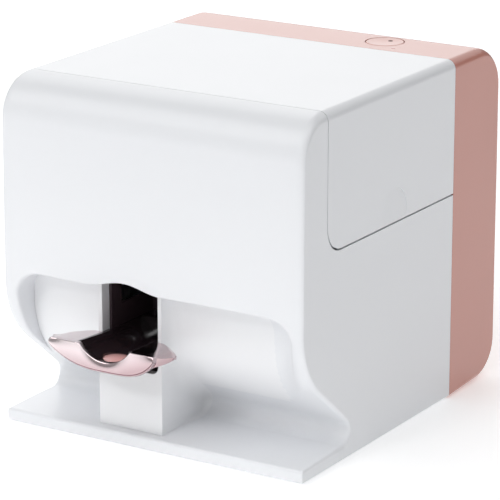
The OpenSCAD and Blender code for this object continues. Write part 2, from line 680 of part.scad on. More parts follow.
module stage_rods() {
    color(steel) body_frame() for (s = [-1, 1]) rod_y(s * rod_x, rod_z, rod_r, chassis_y0, chassis_y1 + chassis_t);
}

// ---------- stage ----------
stage_y0 = chassis_y0 + 8 + stage_travel;       // front of the stage's end blocks, at home
stage_y1 = stage_y0 + 50;
block_hw = 8;
block_x = rod_x - block_hw;
block_z = 98;
xrod_r = 2.5;
xrod_z = rod_z - rod_r - xrod_r - 2.5;
xrod_y = [stage_y0 + 26, stage_y0 + 46];
belt_y = stage_y1 + 10;     // middle of the belt
belt_w = 6;
drive_x = rod_x - 16;
idler_x = -rod_x;
pulley_z = rod_z + 20;
beam_t = 1.6;
beam_top = rod_z + 8;
nut_y = stage_y0 + 22;
nut_r = 5;
screw_r = 3;
journal_r = 2;
module stage_block(x) {
    inner = x > 0 ? -1 : 1;
    difference() {
        box([x - block_hw, stage_y0, block_z], [x + block_hw, stage_y1, rod_z + 7]);
        rod_y(x, rod_z, rod_r + run, stage_y0 - 1, stage_y1 + 1);
        for (y = xrod_y) rod_x_dir(y, xrod_z, xrod_r, inner > 0 ? x - 6 : x - block_hw - 1, inner > 0 ? x + block_hw + 1 : x + 6);
        // lightened between the rods
        box([x - block_hw + 2, 64, block_z - 1], [x + block_hw - 2, 76, rod_z - 6]);
    }
}
module stage_block_left() { color(black) body_frame() stage_block(-rod_x); }
module stage_block_right() {
    color(black) body_frame() difference() {
        union() {
            stage_block(rod_x);
            box([block_x, nut_y - 6, screw_z - 8], [rod_x + block_hw, nut_y + 6, block_z + 1]);
        }
        rod_y(rod_x, screw_z, nut_r, nut_y - 7, nut_y + 7);
    }
}
module lead_nut() {
    color([0.8, 0.65, 0.3]) body_frame() difference() {
        union() {
            rod_y(rod_x, screw_z, nut_r, nut_y - 6, nut_y + 6);
            rod_y(rod_x, screw_z, nut_r + 0.9, nut_y + 6, nut_y + 8);
        }
        rod_y(rod_x, screw_z, screw_r + run, nut_y - 7, nut_y + 9);
    }
}
module carriage_rods() {
    color(steel) body_frame() for (y = xrod_y) rod_x_dir(y, xrod_z, xrod_r, -rod_x - 6, rod_x + 6);
}
// Beam behind the rods, with an ear for each pulley.
module stage_beam() {
    color(steel) body_frame() difference() {
        union() {
            box([-rod_x - block_hw, stage_y1, 106], [rod_x + block_hw, stage_y1 + beam_t, beam_top]);
            for (x = [drive_x, idler_x]) {
                box([x - 8, stage_y1, beam_top - 1], [x + 8, stage_y1 + beam_t, pulley_z]);
                rod_y(x, pulley_z, 8, stage_y1, stage_y1 + beam_t);
            }
        }
        rod_y(drive_x, pulley_z, 4, stage_y1 - 1, stage_y1 + 3);
        rod_y(idler_x, pulley_z, 1.5, stage_y1 - 1, stage_y1 + 3);
        for (s = [-1, 1]) rod_y(s * rod_x, rod_z, rod_r + 1, stage_y1 - 1, stage_y1 + 3);
    }
}
module racetrack(r, y0, y1) {
    for (x = [drive_x, idler_x]) rod_y(x, pulley_z, r, y0, y1);
    box([idler_x, y0, pulley_z - r], [drive_x, y1, pulley_z + r]);
}
module drive_belt() {
    color(black) body_frame() difference() {
        racetrack(pulley_r + run + belt_t, belt_y - belt_w / 2, belt_y + belt_w / 2);
        racetrack(pulley_r + run, belt_y - belt_w / 2 - 1, belt_y + belt_w / 2 + 1);
    }
}
module pulley(x, bore) {
    difference() {
        union() {
            rod_y(x, pulley_z, pulley_r, belt_y - belt_w / 2 - 0.4, belt_y + belt_w / 2 + 0.4);
            for (y = [belt_y - belt_w / 2 - 1.4, belt_y + belt_w / 2 + 0.4]) rod_y(x, pulley_z, pulley_r + 2, y, y + 1);
        }
        rod_y(x, pulley_z, bore, belt_y - 10, belt_y + 10);
    }
}
shaft_r = 1.5;
module drive_pulley() {
    color(dark_grey) body_frame() union() {
        pulley(drive_x, shaft_r - 0.2);
        rod_y(drive_x, pulley_z, shaft_r, stage_y1 - 6, belt_y + belt_w / 2 + 3);
    }
}
module idler_pulley() { color(dark_grey) body_frame() pulley(idler_x, shaft_r + run); }
module idler_pin() {
    color(steel) body_frame() union() {
        rod_y(idler_x, pulley_z, shaft_r, stage_y1, belt_y + belt_w / 2 + 2);
        rod_y(idler_x, pulley_z, 3, belt_y + belt_w / 2 + 2, belt_y + belt_w / 2 + 3);
    }
}
module motor_can(x, z, r, y0, y1, bore) {
    difference() {
        union() {
            rod_y(x, z, r, y0, y1);
            rod_y(x, z, r * 0.4, y0 - 1.2, y0 + 1);
        }
        rod_y(x, z, bore, y1 - 8, y1 + 1);
        rod_y(x, z, bore, y0 - 2, y0 + 7);
    }
}
module carriage_motor() {
    color(steel) body_frame() motor_can(drive_x, pulley_z, 10, stage_y1 - 22, stage_y1, shaft_r + run);
}

// ---------- print carriage ----------
car_x = port_x - 17 + carriage_travel;          // parked position of the carriage's middle
car_hw = 15;
car_wall = 2;
pocket_y0 = stage_y0 - 2;      // the pocket for the cartridge
pocket_y1 = pocket_y0 + 22;
car_z0 = rod_z - 24;
car_z1 = rod_z + 24;
nose_z = car_z0 - 4.5;       // underside of the nozzles
bush_r = 4.5;
latch_y = pocket_y1 + 5;
latch_z = car_z1 + 4;
latch_r = 2.6;
jaw_z = pulley_z - pulley_r - run - belt_t;   // underside of the belt's lower run
module carriage() {
    color(black) body_frame() difference() {
        union() {
            box([car_x - car_hw, pocket_y0 - car_wall, car_z0], [car_x + car_hw, pocket_y1 + car_wall, car_z1]);
            box([car_x - car_hw, pocket_y1, xrod_z - 7], [car_x + car_hw, stage_y1 - 0.6, xrod_z + 7]);
            box([car_x - 6, stage_y1 - 7, xrod_z + 6], [car_x + 6, stage_y1 - 0.6, jaw_z + 4.5]);
            box([car_x - 6, stage_y1 - 7, beam_top + 0.5], [car_x + 6, belt_y + belt_w / 2 + 2, jaw_z + 4.5]);
            for (s = [-1, 1]) translate([car_x + s * (car_hw - 1.25), 0, 0]) along_x(2.5) hull() {
                translate([latch_y, latch_z]) circle(4);
                translate([pocket_y1, car_z1 - 22]) square([2, 14]);
            }
        }
        // pocket, hole for the nose, and a window in front
        box([car_x - car_hw + car_wall, pocket_y0, car_z0 + car_wall], [car_x + car_hw - car_wall, pocket_y1, car_z1 + 1]);
        box([car_x - 10.5, pocket_y0 + 3.5, car_z0 - 1], [car_x + 10.5, pocket_y1 - 3.5, car_z0 + 3]);
        box([car_x - 8, pocket_y0 - 5, car_z1 - 22], [car_x + 8, pocket_y0 + 1, car_z1 + 1]);
        // bush seats, lightening, belt slot and latch pin
        for (y = xrod_y) rod_x_dir(y, xrod_z, bush_r, car_x - car_hw - 1, car_x + car_hw + 1);
        box([car_x - car_hw + 3, xrod_y[0] + 7, xrod_z - 8], [car_x + car_hw - 3, xrod_y[1] - 7, xrod_z + 8]);
        box([car_x - 7, belt_y - belt_w / 2 - 0.3, jaw_z - 0.3], [car_x + 7, belt_y + belt_w / 2 + 3, jaw_z + belt_t + 0.3]);
        rod_x_dir(latch_y, latch_z, 1, car_x - car_hw - 1, car_x + car_hw + 1);
    }
}
module rod_bushes() {
    color([0.75, 0.6, 0.35]) body_frame() for (y = xrod_y, s = [-1, 1]) difference() {
        rod_x_dir(y, xrod_z, bush_r, car_x + s * (car_hw - 5) - 5, car_x + s * (car_hw - 5) + 5);
        rod_x_dir(y, xrod_z, xrod_r + run, car_x - 2 * car_hw, car_x + 2 * car_hw);
    }
}
module ink_cartridge() {
    hw = car_hw - car_wall - clear;
    color(dark_grey) body_frame() difference() {
        union() {
            box([car_x - hw, pocket_y0 + clear, car_z0 + car_wall], [car_x + hw, pocket_y1 - clear, car_z1 + 0.5]);
            box([car_x - 10, pocket_y0 + 4, nose_z + 0.4], [car_x + 10, pocket_y1 - 4, car_z0 + car_wall + 1]);
            box([car_x - 4, pocket_y0 + 6, nose_z], [car_x + 4, pocket_y1 - 6, nose_z + 1]);
            box([car_x - hw + 2, pocket_y0 + 3, car_z1], [car_x + hw - 2, pocket_y1 - 3, car_z1 + 1.2]);
        }
        for (i = [-2:2]) box([car_x + i * 3 - 0.6, pocket_y0 - 1, car_z1 - 14], [car_x + i * 3 + 0.6, pocket_y0 + 0.8, car_z1 - 3]);
    }
}
module cartridge_latch() {
    hw = car_hw - 2.5 - clear;
    color(dark_grey) body_frame() difference() {
        union() {
            box([car_x - hw, pocket_y0 + 2, latch_z], [car_x + hw, latch_y, latch_z + latch_r]);
            rod_x_dir(latch_y, latch_z, latch_r, car_x - hw, car_x + hw);
            box([car_x - 8, pocket_y0 + 4, car_z1 + 1.4], [car_x + 8, pocket_y0 + 7, latch_z + 1]);
            box([car_x - 6, pocket_y0 - 2, latch_z], [car_x + 6, pocket_y0 + 3, latch_z + 1.2]);
        }
        rod_x_dir(latch_y, latch_z, 1 + run, car_x - hw - 1, car_x + hw + 1);
    }
}
module latch_pin() {
    color(steel) body_frame() rod_x_dir(latch_y, latch_z, 1, car_x - car_hw, car_x + car_hw);
}
module nail_camera() {
    x1 = car_x - car_hw;
    color(dark_grey) body_frame() {
        box([x1 - 1.6, pocket_y0 + 2, 96], [x1, pocket_y1 - 2, 122]);
        difference() {
            union() {
                box([x1 - 9.5, pocket_y0 + 6, 104], [x1 - 1.5, pocket_y0 + 16, 116]);
                rod_z_dir(x1 - 5.5, pocket_y0 + 11, 3.6, 100, 105);
            }
            rod_z_dir(x1 - 5.5, pocket_y0 + 11, 2.6, 99, 101.5);
        }
    }
}

// ---------- drive of the stage ----------
module lead_screw() {
    color(steel) body_frame() union() {
        rod_y(rod_x, screw_z, screw_r, chassis_y0 + 2.3, chassis_y1 + chassis_t + 7);
        rod_y(rod_x, screw_z, journal_r, chassis_y0 + 0.2, chassis_y0 + 3);
        rod_y(rod_x, screw_z, screw_r + 1.5, chassis_y0 + 2.3, chassis_y0 + 4);
    }
}
module stage_motor() {
    color(steel) body_frame() difference() {
        union() {
            rod_y(rod_x, screw_z, 12, chassis_y1 + chassis_t, chassis_y1 + chassis_t + 24);
            box([rod_x - 15, chassis_y1 + chassis_t, screw_z - 5], [rod_x + 15 - 5, chassis_y1 + chassis_t + 1.5, screw_z + 5]);
        }
        rod_y(rod_x, screw_z, screw_r + run, chassis_y1, chassis_y1 + chassis_t + 8);
    }
}

// ---------- service station ----------
cap_z = nose_z - 0.3;
station_z = nose_z - 3.5;
module service_station() {
    color(dark_grey) body_frame() difference() {
        union() {
            box([car_x - 14, pocket_y0 + 1, 66], [car_x + 14, pocket_y1 - 1, station_z]);
            for (s = [-1, 1]) translate([car_x + s * 12.5, 0, 0]) along_x(3)
                polygon([[70, floor_z + chassis_t], [96, floor_z + chassis_t], [pocket_y1 - 1, 67], [pocket_y0 + 3, 67], [70, 50]]);
            box([car_x - 14, 76, floor_z + chassis_t], [car_x + 14, 94, floor_z + chassis_t + 2]);
            box([car_x - 21, pocket_y0 + 3, 70], [car_x - 14, pocket_y1 - 3, 74]);
        }
        box([car_x - 11, pocket_y0 + 3, station_z - 4], [car_x + 11, pocket_y1 - 3, station_z + 1]);
        box([car_x - 11, pocket_y0 - 1, 65], [car_x + 11, pocket_y1 + 1, 72]);
        box([car_x - 19.6, pocket_y0 + 4, 71], [car_x - 18.4, pocket_y1 - 4, 75]);
    }
}
module cap_pad() {
    color(black) body_frame() difference() {
        box([car_x - 10.8, pocket_y0 + 3.2, station_z - 4], [car_x + 10.8, pocket_y1 - 3.2, cap_z]);
        box([car_x - 9, pocket_y0 + 5, cap_z - 1.6], [car_x + 9, pocket_y1 - 5, cap_z + 1]);
    }
}
module wiper_blade() {
    color(black) body_frame() box([car_x - 19.5, pocket_y0 + 4.1, 71], [car_x - 18.5, pocket_y1 - 4.1, nose_z - 0.1]);
}

// ---------- electronics ----------
board_y = body_d - 18;
board_t = 1.6;
board_hw = body_w / 2 - 33;
board_z0 = 20;
board_z1 = door_z + 5;
board_post_x = [6 - board_hw, board_hw - 6];
board_post_z = [board_z0 + 6, board_z1 - 6];
module main_board() {
    color(green) body_frame() difference() {
        box([-board_hw, board_y, board_z0], [board_hw, board_y + board_t, board_z1]);
        for (x = board_post_x, z = board_post_z) rod_y(x, z, 1.5, board_y - 1, board_y + 3);
        rod_y(inlet_x, inlet_z, 0.6, board_y - 1, board_y + 3);
    }
}
module board_parts() {
    color(black) body_frame() {
        for (p = [[-30, 70, 9, 1.4], [10, 84, 7, 1.2], [38, 96, 5, 1.6], [-48, 108, 4, 2]])
            box([p[0] - p[2], board_y - p[3], p[1] - p[2]], [p[0] + p[2], board_y, p[1] + p[2]]);
        for (x = [-10, 6, 22]) rod_y(x, 44, 4, board_y - 11, board_y);
        for (i = [0:3]) box([-56 + 24 * i, board_y - 6, 120], [-44 + 24 * i, board_y, 126]);
    }
}
module power_inlet() {
    color(black) body_frame() union() {
        difference() {
            box([inlet_x - 4.6, board_y + board_t, inlet_z - 5.5], [inlet_x + 4.6, body_d - 0.4, inlet_z + 5.5]);
            rod_y(inlet_x, inlet_z, 3.15, body_d - 10, body_d + 1);
        }
        rod_y(inlet_x, inlet_z, 1, body_d - 11, body_d - 1.5);
    }
}
module board_screws() {
    color(steel) body_frame() for (x = board_post_x, z = board_post_z) {
        rod_y(x, z, 1.4, board_y - 0.5, board_y + 9);
        difference() {
            rod_y(x, z, 2.8, board_y - 1.6, board_y);
            box([x - 1.6, board_y - 2, z - 0.35], [x + 1.6, board_y - 0.8, z + 0.35]);
            box([x - 0.35, board_y - 2, z - 1.6], [x + 0.35, board_y - 0.8, z + 1.6]);
        }
    }
}

main_shell();
recess_panel();
rear_shell();
base_plate();
rubber_feet();
base_screws();
lid();
lid_magnet();
strike_plate();
hinge_pins();
power_button();
button_spring();
switch_board();
status_lamp();
finger_cradle();
lever_wings();
lever_front();
finger_pad();
guide_pins();
cradle_springs();
finger_chamber();
chassis_floor();
chassis_left();
chassis_right();
chassis_front();
chassis_rear();
stage_rods();
stage_block_left();
stage_block_right();
carriage_rods();
stage_beam();
drive_belt();
drive_pulley();
idler_pulley();
idler_pin();
carriage_motor();
carriage();
rod_bushes();
ink_cartridge();
cartridge_latch();
latch_pin();
nail_camera();
lead_screw();
lead_nut();
stage_motor();
service_station();
cap_pad();
wiper_blade();
main_board();
board_parts();
power_inlet();
board_screws();
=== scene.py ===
"""Desktop nail printer: white body, pink rear shell, rose-gold finger lever, hinged lid and print carriage."""
import json
import math

import bmesh
import bpy
from mathutils import Matrix, Vector


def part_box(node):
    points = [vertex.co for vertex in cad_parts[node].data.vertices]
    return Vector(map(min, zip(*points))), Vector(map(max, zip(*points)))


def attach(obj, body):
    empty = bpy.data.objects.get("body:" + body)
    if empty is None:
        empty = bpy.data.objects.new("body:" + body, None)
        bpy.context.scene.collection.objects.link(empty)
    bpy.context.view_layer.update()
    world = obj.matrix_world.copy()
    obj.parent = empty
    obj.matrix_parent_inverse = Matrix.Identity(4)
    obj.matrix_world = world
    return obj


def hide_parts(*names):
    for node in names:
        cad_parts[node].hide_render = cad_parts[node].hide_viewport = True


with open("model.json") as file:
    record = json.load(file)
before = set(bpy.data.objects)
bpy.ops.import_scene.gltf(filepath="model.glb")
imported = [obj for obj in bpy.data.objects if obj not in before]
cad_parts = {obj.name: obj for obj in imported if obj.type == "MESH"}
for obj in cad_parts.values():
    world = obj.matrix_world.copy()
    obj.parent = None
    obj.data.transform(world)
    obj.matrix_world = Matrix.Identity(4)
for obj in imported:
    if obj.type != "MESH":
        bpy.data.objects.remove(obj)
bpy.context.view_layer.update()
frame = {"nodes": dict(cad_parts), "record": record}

# ---------------------------------------------------------------- camera and studio
# The viewpoint is the photograph's, fitted to the printer's straight edges. Large soft panels
# light it from ahead, above and behind, in a room that is brightest overhead and ahead.
LENS, SENSOR, VIEW_END = 215.05, 36.0, 50.0
DIP, HEADING = 16.658, 31.696                       # degrees down from level, and round from straight ahead
ROOM_LEAN = (-0.16, -0.50, 0.60)                    # towards the room's brightest side
ROOM_DIM, ROOM_BRIGHT = (0.03, 0.03, 0.03), (0.48, 0.48, 0.48)

scene = bpy.context.scene
scene.view_settings.view_transform = "Standard"
scene.view_settings.exposure = -0.06
camera = bpy.data.objects.new("camera", bpy.data.cameras.new("camera"))
scene.collection.objects.link(camera)
scene.camera = camera
camera.data.lens = LENS
camera.data.sensor_width = SENSOR
camera.data.clip_end = VIEW_END
camera.location = (0.92734, -1.49712, 0.62580)
camera.rotation_euler = (math.radians(90.0 - DIP), 0.0, math.radians(HEADING))


class Signal:
    """A shader socket that works in sums."""

    def __init__(self, net, socket):
        self.net, self.socket = net, socket

    def _sum(self, operation, first, second):
        return self.net.node("ShaderNodeMath", {"operation": operation}, {0: first, 1: second})

    def __add__(self, other):
        return self._sum("ADD", self, other)

    def __radd__(self, other):
        return self._sum("ADD", other, self)

    def __sub__(self, other):
        return self._sum("SUBTRACT", self, other)

    def __rsub__(self, other):
        return self._sum("SUBTRACT", other, self)

    def __mul__(self, other):
        return self._sum("MULTIPLY", self, other)

    def __rmul__(self, other):
        return self._sum("MULTIPLY", other, self)


class Net:
    """A node tree, with the one way in which nodes are added to it."""

    def __init__(self, tree):
        self.tree = tree

    def feed(self, socket, value):
        if isinstance(value, Signal):
            self.tree.links.new(value.socket, socket)
        else:
            socket.default_value = value

    def node(self, kind, settings, feeds, out=0):
        made = self.tree.nodes.new(kind)
        for key, value in settings.items():
            setattr(made, key, value)
        for key, value in feeds.items():
            self.feed(made.inputs[key], value)
        return Signal(self, made.outputs[out])

    def blend(self, factor, low, high):
        """A colour between two others. The numbers are the colour sockets of the mixing node."""
        return self.node("ShaderNodeMix", {"data_type": "RGBA"}, {0: factor, 6: (*low, 1.0), 7: (*high, 1.0)}, 2)


world = bpy.data.worlds.new("studio")
scene.world = world
world.use_nodes = True
room = Net(world.node_tree)
lean = room.node("ShaderNodeVectorMath", {"operation": "DOT_PRODUCT"},
                 {0: room.node("ShaderNodeTexCoord", {}, {}, "Generated"), 1: ROOM_LEAN}, "Value")
room.feed(room.tree.nodes["Background"].inputs["Color"], room.blend(lean * 0.6 + 0.45, ROOM_DIM, ROOM_BRIGHT))


def softbox(name, place, aim, width, height, power, spread=180.0):
    """A soft panel light, aimed at a point, with its power in watts."""
    lamp = bpy.data.lights.new(name, "AREA")
    lamp.shape = "RECTANGLE"
    lamp.size, lamp.size_y, lamp.energy = width, height, power
    lamp.spread = math.radians(spread)
    stand = bpy.data.objects.new(name, lamp)
    scene.collection.objects.link(stand)
    stand.location = place
    stand.rotation_euler = (Vector(aim) - Vector(place)).to_track_quat("-Z", "Y").to_euler()


softbox("key", (-0.75, -1.3, 1.6), (0, 0, 0.1), 1.4, 1.2, 10)
softbox("toe", (-0.15, -0.9, 0.62), (0, 0.03, -0.06), 0.8, 0.16, 0.05, 14.0)
softbox("top", (0.5, -0.6, 1.85), (0, 0, 0.1), 1.6, 1.2, 8.5)
softbox("brow", (-1.1, 1.0, 1.6), (0, -0.1, 0.2), 1.5, 1.1, 8)
softbox("low_front", (0.1, -2.3, 0.3), (0, -0.1, 0.05), 1.8, 0.5, 1.5)
softbox("backdrop", (-1.6, 2.4, 0.9), (0, 0.05, 0.2), 2.0, 1.2, 11)
softbox("rim", (0.5, 2.4, 1.7), (0.1, 0, 0.2), 2.8, 1.2, 9)


# ---------------------------------------------------------------- moulded white body
# The front and sides are one glossy ABS moulding: a rounded brow, a belly that curves
# under to a thin toe plate, and a wide recess for the hand with a soft lip.
class Finish(Net):
    """A material, with the nodes that its surface detail needs."""

    def __init__(self, name, colour, roughness, metallic=0.0, coat=0.0):
        self.material = bpy.data.materials.new(name)
        self.material.use_nodes = True
        self.material.diffuse_color = (*colour, 1.0)
        super().__init__(self.material.node_tree)
        self.shader = self.tree.nodes["Principled BSDF"]
        self.set("Base Color", (*colour, 1.0))
        self.set("Roughness", roughness)
        self.set("Metallic", metallic)
        self.set("Coat Weight", coat)
        self.set("Coat Roughness", 0.08)

    def set(self, socket, value):
        self.feed(self.shader.inputs[socket], value)

    def place(self):
        return self.node("ShaderNodeTexCoord", {}, {}, "Object")

    def along(self, axis):
        """Where a point lies along an axis, in metres."""
        return self.node("ShaderNodeSeparateXYZ", {}, {0: self.place()}, axis)

    def noise(self, scale, detail=2.0, roughness=0.5, stretch=(1, 1, 1)):
        spot = self.node("ShaderNodeMapping", {}, {"Vector": self.place(), "Scale": stretch})
        return self.node("ShaderNodeTexNoise", {},
                         {"Vector": spot, "Scale": scale, "Detail": detail, "Roughness": roughness})

    def bump(self, height, strength, distance):
        self.set("Normal", self.node("ShaderNodeBump", {},
                                     {"Height": height, "Strength": strength, "Distance": distance}))


FINE_GRAIN, COARSE_GRAIN = 0.00003, 0.00006         # depth of the skin, in metres


def mould_skin(finish, roughness, grain):
    """Adds the fine skin that a mould leaves, and gives its uneven gloss."""
    finish.bump(finish.noise(1500.0), 0.25, grain)
    return roughness - 0.03 + 0.07 * finish.noise(28.0, 4.0, 0.6)


def moulded(name, colour, deep, roughness, coat, grain=FINE_GRAIN):
    """Injection-moulded plastic: faint flow in the colour, under a fine skin."""
    finish = Finish(name, colour, roughness, coat=coat)
    flow = finish.noise(9.0, 3.0, 0.55, (1.0, 0.6, 1.6))
    finish.set("Base Color", finish.blend(flow, deep, colour))
    finish.set("Roughness", mould_skin(finish, roughness, grain))
    return finish


MM = 1000.0                                         # millimetres in a metre; all shapes are in millimetres
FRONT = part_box("main_shell")[0][1] * MM             # the front plane
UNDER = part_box("main_shell")[0][2] * MM             # the shell's lower edge
WIDTH, HEIGHT, DEPTH = 210.0, 216.0, 240.0
HALF, WALL = WIDTH / 2, 2.5
EDGE, FOOT_EDGE = 6.0, 1.6                          # rounding of the long edges, at the top and at the foot
SPLIT = 180.0                                       # where the white body ends and the pink shell starts
BROW, BELLY, BELLY_Z = 26.0, 53.0, 90.0             # the front's upper and lower radius, and the lower one's height
SLOPE = 51.0                                        # degrees that the belly turns under, and then runs on straight
TOE, TOE_FALL, NOSE, HEEL = 8.6, 0.7, 1.7, 1.2      # toe plate: thickness, fall to the front, front roundings
WAIST = 8.0                                         # the hollow corner between slope and toe plate
slope_s, slope_c = math.sin(math.radians(SLOPE)), math.cos(math.radians(SLOPE))
waist_z = TOE + WAIST
waist_y = BELLY - (BELLY + WAIST + slope_s * (waist_z - BELLY_Z)) / slope_c


def arc(a, b, r, start, end, steps):
    """Points of an arc about (a, b), between two angles in degrees."""
    angles = [math.radians(start + (end - start) * i / steps) for i in range(steps + 1)]
    return [(a + r * math.cos(t), b + r * math.sin(t)) for t in angles]


def turn(cy, cz, r, start, end, steps, side, edge):
    """An arc in the side view, each point with its outward normal and side rounding."""
    out = []
    for i, (y, z) in enumerate(arc(cy, cz, r, start, end, steps)):
        a = math.radians(start + (end - start) * i / steps)
        out.append((y, z, side * math.cos(a), side * math.sin(a), edge))
    return out


front_profile = (
    [(SPLIT, 0.0, 0, -1, FOOT_EDGE), (SPLIT, HEIGHT, 0, 1, EDGE)]
    + turn(BROW, HEIGHT - BROW, BROW, 90, 180, 24, 1, EDGE)
    + [(0.0, z, -1, 0, edge) for z, edge in ((172.0, 5.4), (150.0, 4.6), (130.0, 4.2), (105.0, 4.0))]
    + turn(BELLY, BELLY_Z, BELLY, 180, 180 + SLOPE, 28, 1, 3.8)
    + [(y, z, -slope_c, -slope_s, 3.6) for y, z in ((30.3, 40.17), (40.0, 32.3))]
    + turn(waist_y, waist_z, WAIST, SLOPE, 0, 10, -1, 3.0)
    + turn(waist_y, waist_z, WAIST, -9, -90, 10, -1, 2.6)
    + [(y, TOE - fall, 0, 1, edge) for y, fall, edge in ((34.0, 0.1, 1.8), (20.0, 0.35, 1.5), (8.0, 0.6, 1.4))]
    + turn(NOSE, TOE - TOE_FALL - NOSE, NOSE, 90, 180, 8, 1, 1.4)
    + turn(HEEL, HEEL, HEEL, 180, 270, 5, 1, 1.2)
)


def mesh_of(name, points, faces):
    """A new object from points: x from the middle, y from the front plane, z from the shell's foot."""
    data = bpy.data.meshes.new(name)
    data.from_pydata([tuple(p) for p in points], [], faces)
    work = bmesh.new()
    work.from_mesh(data)
    bmesh.ops.recalc_face_normals(work, faces=work.faces)
    work.to_mesh(data)
    work.free()
    piece = bpy.data.objects.new(name, data)
    scene.collection.objects.link(piece)
    return piece


def skinned(name, rows):
    """Skins a row of closed sections, each with as many points as the next, and caps both ends."""
    n, last = len(rows[0]), len(rows) - 1
    faces = [(j * n + i, j * n + (i + 1) % n, (j + 1) * n + (i + 1) % n, (j + 1) * n + i)
             for j in range(last) for i in range(n)]
    faces += [tuple(range(n)), tuple(last * n + i for i in range(n))]
    return mesh_of(name, [point for row in rows for point in row], faces)


def rounded_slab(name, profile, steps=7):
    """The side view across the whole width. Each point has its own rounding, which is
    shallower where it faces ahead or back."""
    turns = [math.radians(90.0 * k / steps) for k in range(steps + 1)]
    rows = []
    for side, t in [(-1, t) for t in reversed(turns)] + [(1, t) for t in turns]:
        row = []
        for y, z, ny, nz, edge in profile:
            inset = edge * (1 - 0.6 * abs(ny)) * (1 - math.cos(t))
            row.append((side * (HALF - edge * (1 - math.sin(t))), y - inset * ny, z - inset * nz))
        rows.append(row)
    return skinned(name, rows)


def prism(name, outline, axis, low, high):
    """An outline pushed along an axis. Along x it holds (y, z), along y (x, z), along z (x, y)."""
    place = {"x": lambda a, b, t: (t, a, b), "y": lambda a, b, t: (a, t, b), "z": lambda a, b, t: (a, b, t)}[axis]
    return skinned(name, [[place(a, b, t) for a, b in outline] for t in (low, high)])


def block(low, high):
    (x0, y0, z0), (x1, y1, z1) = low, high
    return prism("block", [(x0, y0), (x1, y0), (x1, y1), (x0, y1)], "z", z0, z1)


def rod(axis, a, b, r, low, high, sides=48):
    return prism("rod", arc(a, b, r, 0, 360, sides)[:-1], axis, low, high)


def joined(piece, tool, way="DIFFERENCE"):
    """Cuts, adds or crosses the piece with a tool, which is used up."""
    step = piece.modifiers.new("step", "BOOLEAN")
    step.operation, step.solver, step.object = way, "EXACT", tool
    bpy.context.view_layer.update()
    made = bpy.data.meshes.new_from_object(piece.evaluated_get(bpy.context.evaluated_depsgraph_get()))
    piece.modifiers.clear()
    old, piece.data = piece.data, made
    bpy.data.meshes.remove(old)
    spent = tool.data
    bpy.data.objects.remove(tool)
    bpy.data.meshes.remove(spent)
    return piece


def soften(piece, width, angle, steps=2, where=None):
    """Rounds the edges sharper than an angle, or those of them that a test on both ends picks."""
    weld, sliver = 0.004, 0.003
    work = bmesh.new()
    work.from_mesh(piece.data)
    bmesh.ops.remove_doubles(work, verts=work.verts, dist=weld)
    bmesh.ops.dissolve_degenerate(work, dist=sliver, edges=work.edges)
    limit = math.radians(angle)
    picked = [e for e in work.edges if len(e.link_faces) == 2 and e.calc_face_angle(0.0) > limit
              and (where is None or (where(e.verts[0].co) and where(e.verts[1].co)))]
    bmesh.ops.bevel(work, geom=picked, offset=width, segments=steps, profile=0.5, affect="EDGES",
                    clamp_overlap=True, loop_slide=True)
    work.to_mesh(piece.data)
    work.free()
    return piece


def seat(piece, body, slot, finish, *nodes, angle=40.0):
    """Moves a finished piece to its place in metres, shades it and gives it to its body."""
    data = piece.data
    data.transform(Matrix.Translation((0.0, FRONT / MM, UNDER / MM)) @ Matrix.Scale(1.0 / MM, 4))
    data.materials.clear()
    data.materials.append(finish.material)
    for face in data.polygons:
        face.material_index = 0
        face.use_smooth = True
    data.set_sharp_from_angle(angle=math.radians(angle))
    even = piece.modifiers.new("even", "WEIGHTED_NORMAL")
    even.keep_sharp, even.weight = True, 60
    bpy.context.view_layer.update()
    made = bpy.data.meshes.new_from_object(piece.evaluated_get(bpy.context.evaluated_depsgraph_get()))
    piece.modifiers.clear()
    piece.data = made
    bpy.data.meshes.remove(data)
    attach(piece, body)
    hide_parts(*nodes)
    return piece


def pulled_in(profile, by):
    """A profile's outline, moved inwards."""
    return [(y - by * ny, z - by * nz) for y, z, ny, nz, _ in profile]


# the recess: its front outline and the side view of its back wall
PORT_X = -19.0                                      # the finger port's middle
RECESS_HALF, LIP, CORNER = 96.0, 96.5, 16.0         # half width, height of the upper edge, upper corners
HUMP, HUMP_HALF = 4.5, 27.0                         # the upper edge's rise over the port
RUN_ON = 24.0                                       # the slope's straight run beside the back wall
PANEL_Y, PANEL_T, PANEL_TOP = 18.0, 2.5, 106.0
join_y = BELLY * (1 - slope_c) + slope_s * RUN_ON
join_z = BELLY_Z - BELLY * slope_s - slope_c * RUN_ON
panel_r = (join_y - PANEL_Y) / (1 - slope_c)
panel_cy, panel_cz = join_y + slope_c * panel_r, join_z + slope_s * panel_r


def recess_outline(grow, low):
    """The recess from the front, larger all round by an amount and open at its foot."""
    half, r, top = RECESS_HALF + grow, CORNER + grow, LIP + grow
    rise = [low + (top - r - low) * i / 12 for i in range(12)]
    hump = []
    for i in range(33):
        t = 1 - i / 16.0
        hump.append((PORT_X + HUMP_HALF * t, top + HUMP * (1 + math.cos(math.pi * t)) / 2))
    return ([(-half, z) for z in reversed(rise)] + [(half, z) for z in rise]
            + arc(half - r, top - r, r, 0, 90, 14) + hump + arc(-half + r, top - r, r, 90, 180, 14))


def panel_face(back, steps=20):
    """The back wall's curve in the side view, or one that lies further back."""
    return arc(panel_cy, panel_cz, panel_r - back, 180 + SLOPE, 180, steps)


def before_panel(back):
    """All the room ahead of the back wall's face, or of a face that lies further back."""
    above = PANEL_TOP + 20
    return prism("before", [(-30, above), (-30, join_z)] + panel_face(back) + [(PANEL_Y + back, above)],
                 "x", -HALF - 2, HALF + 2)


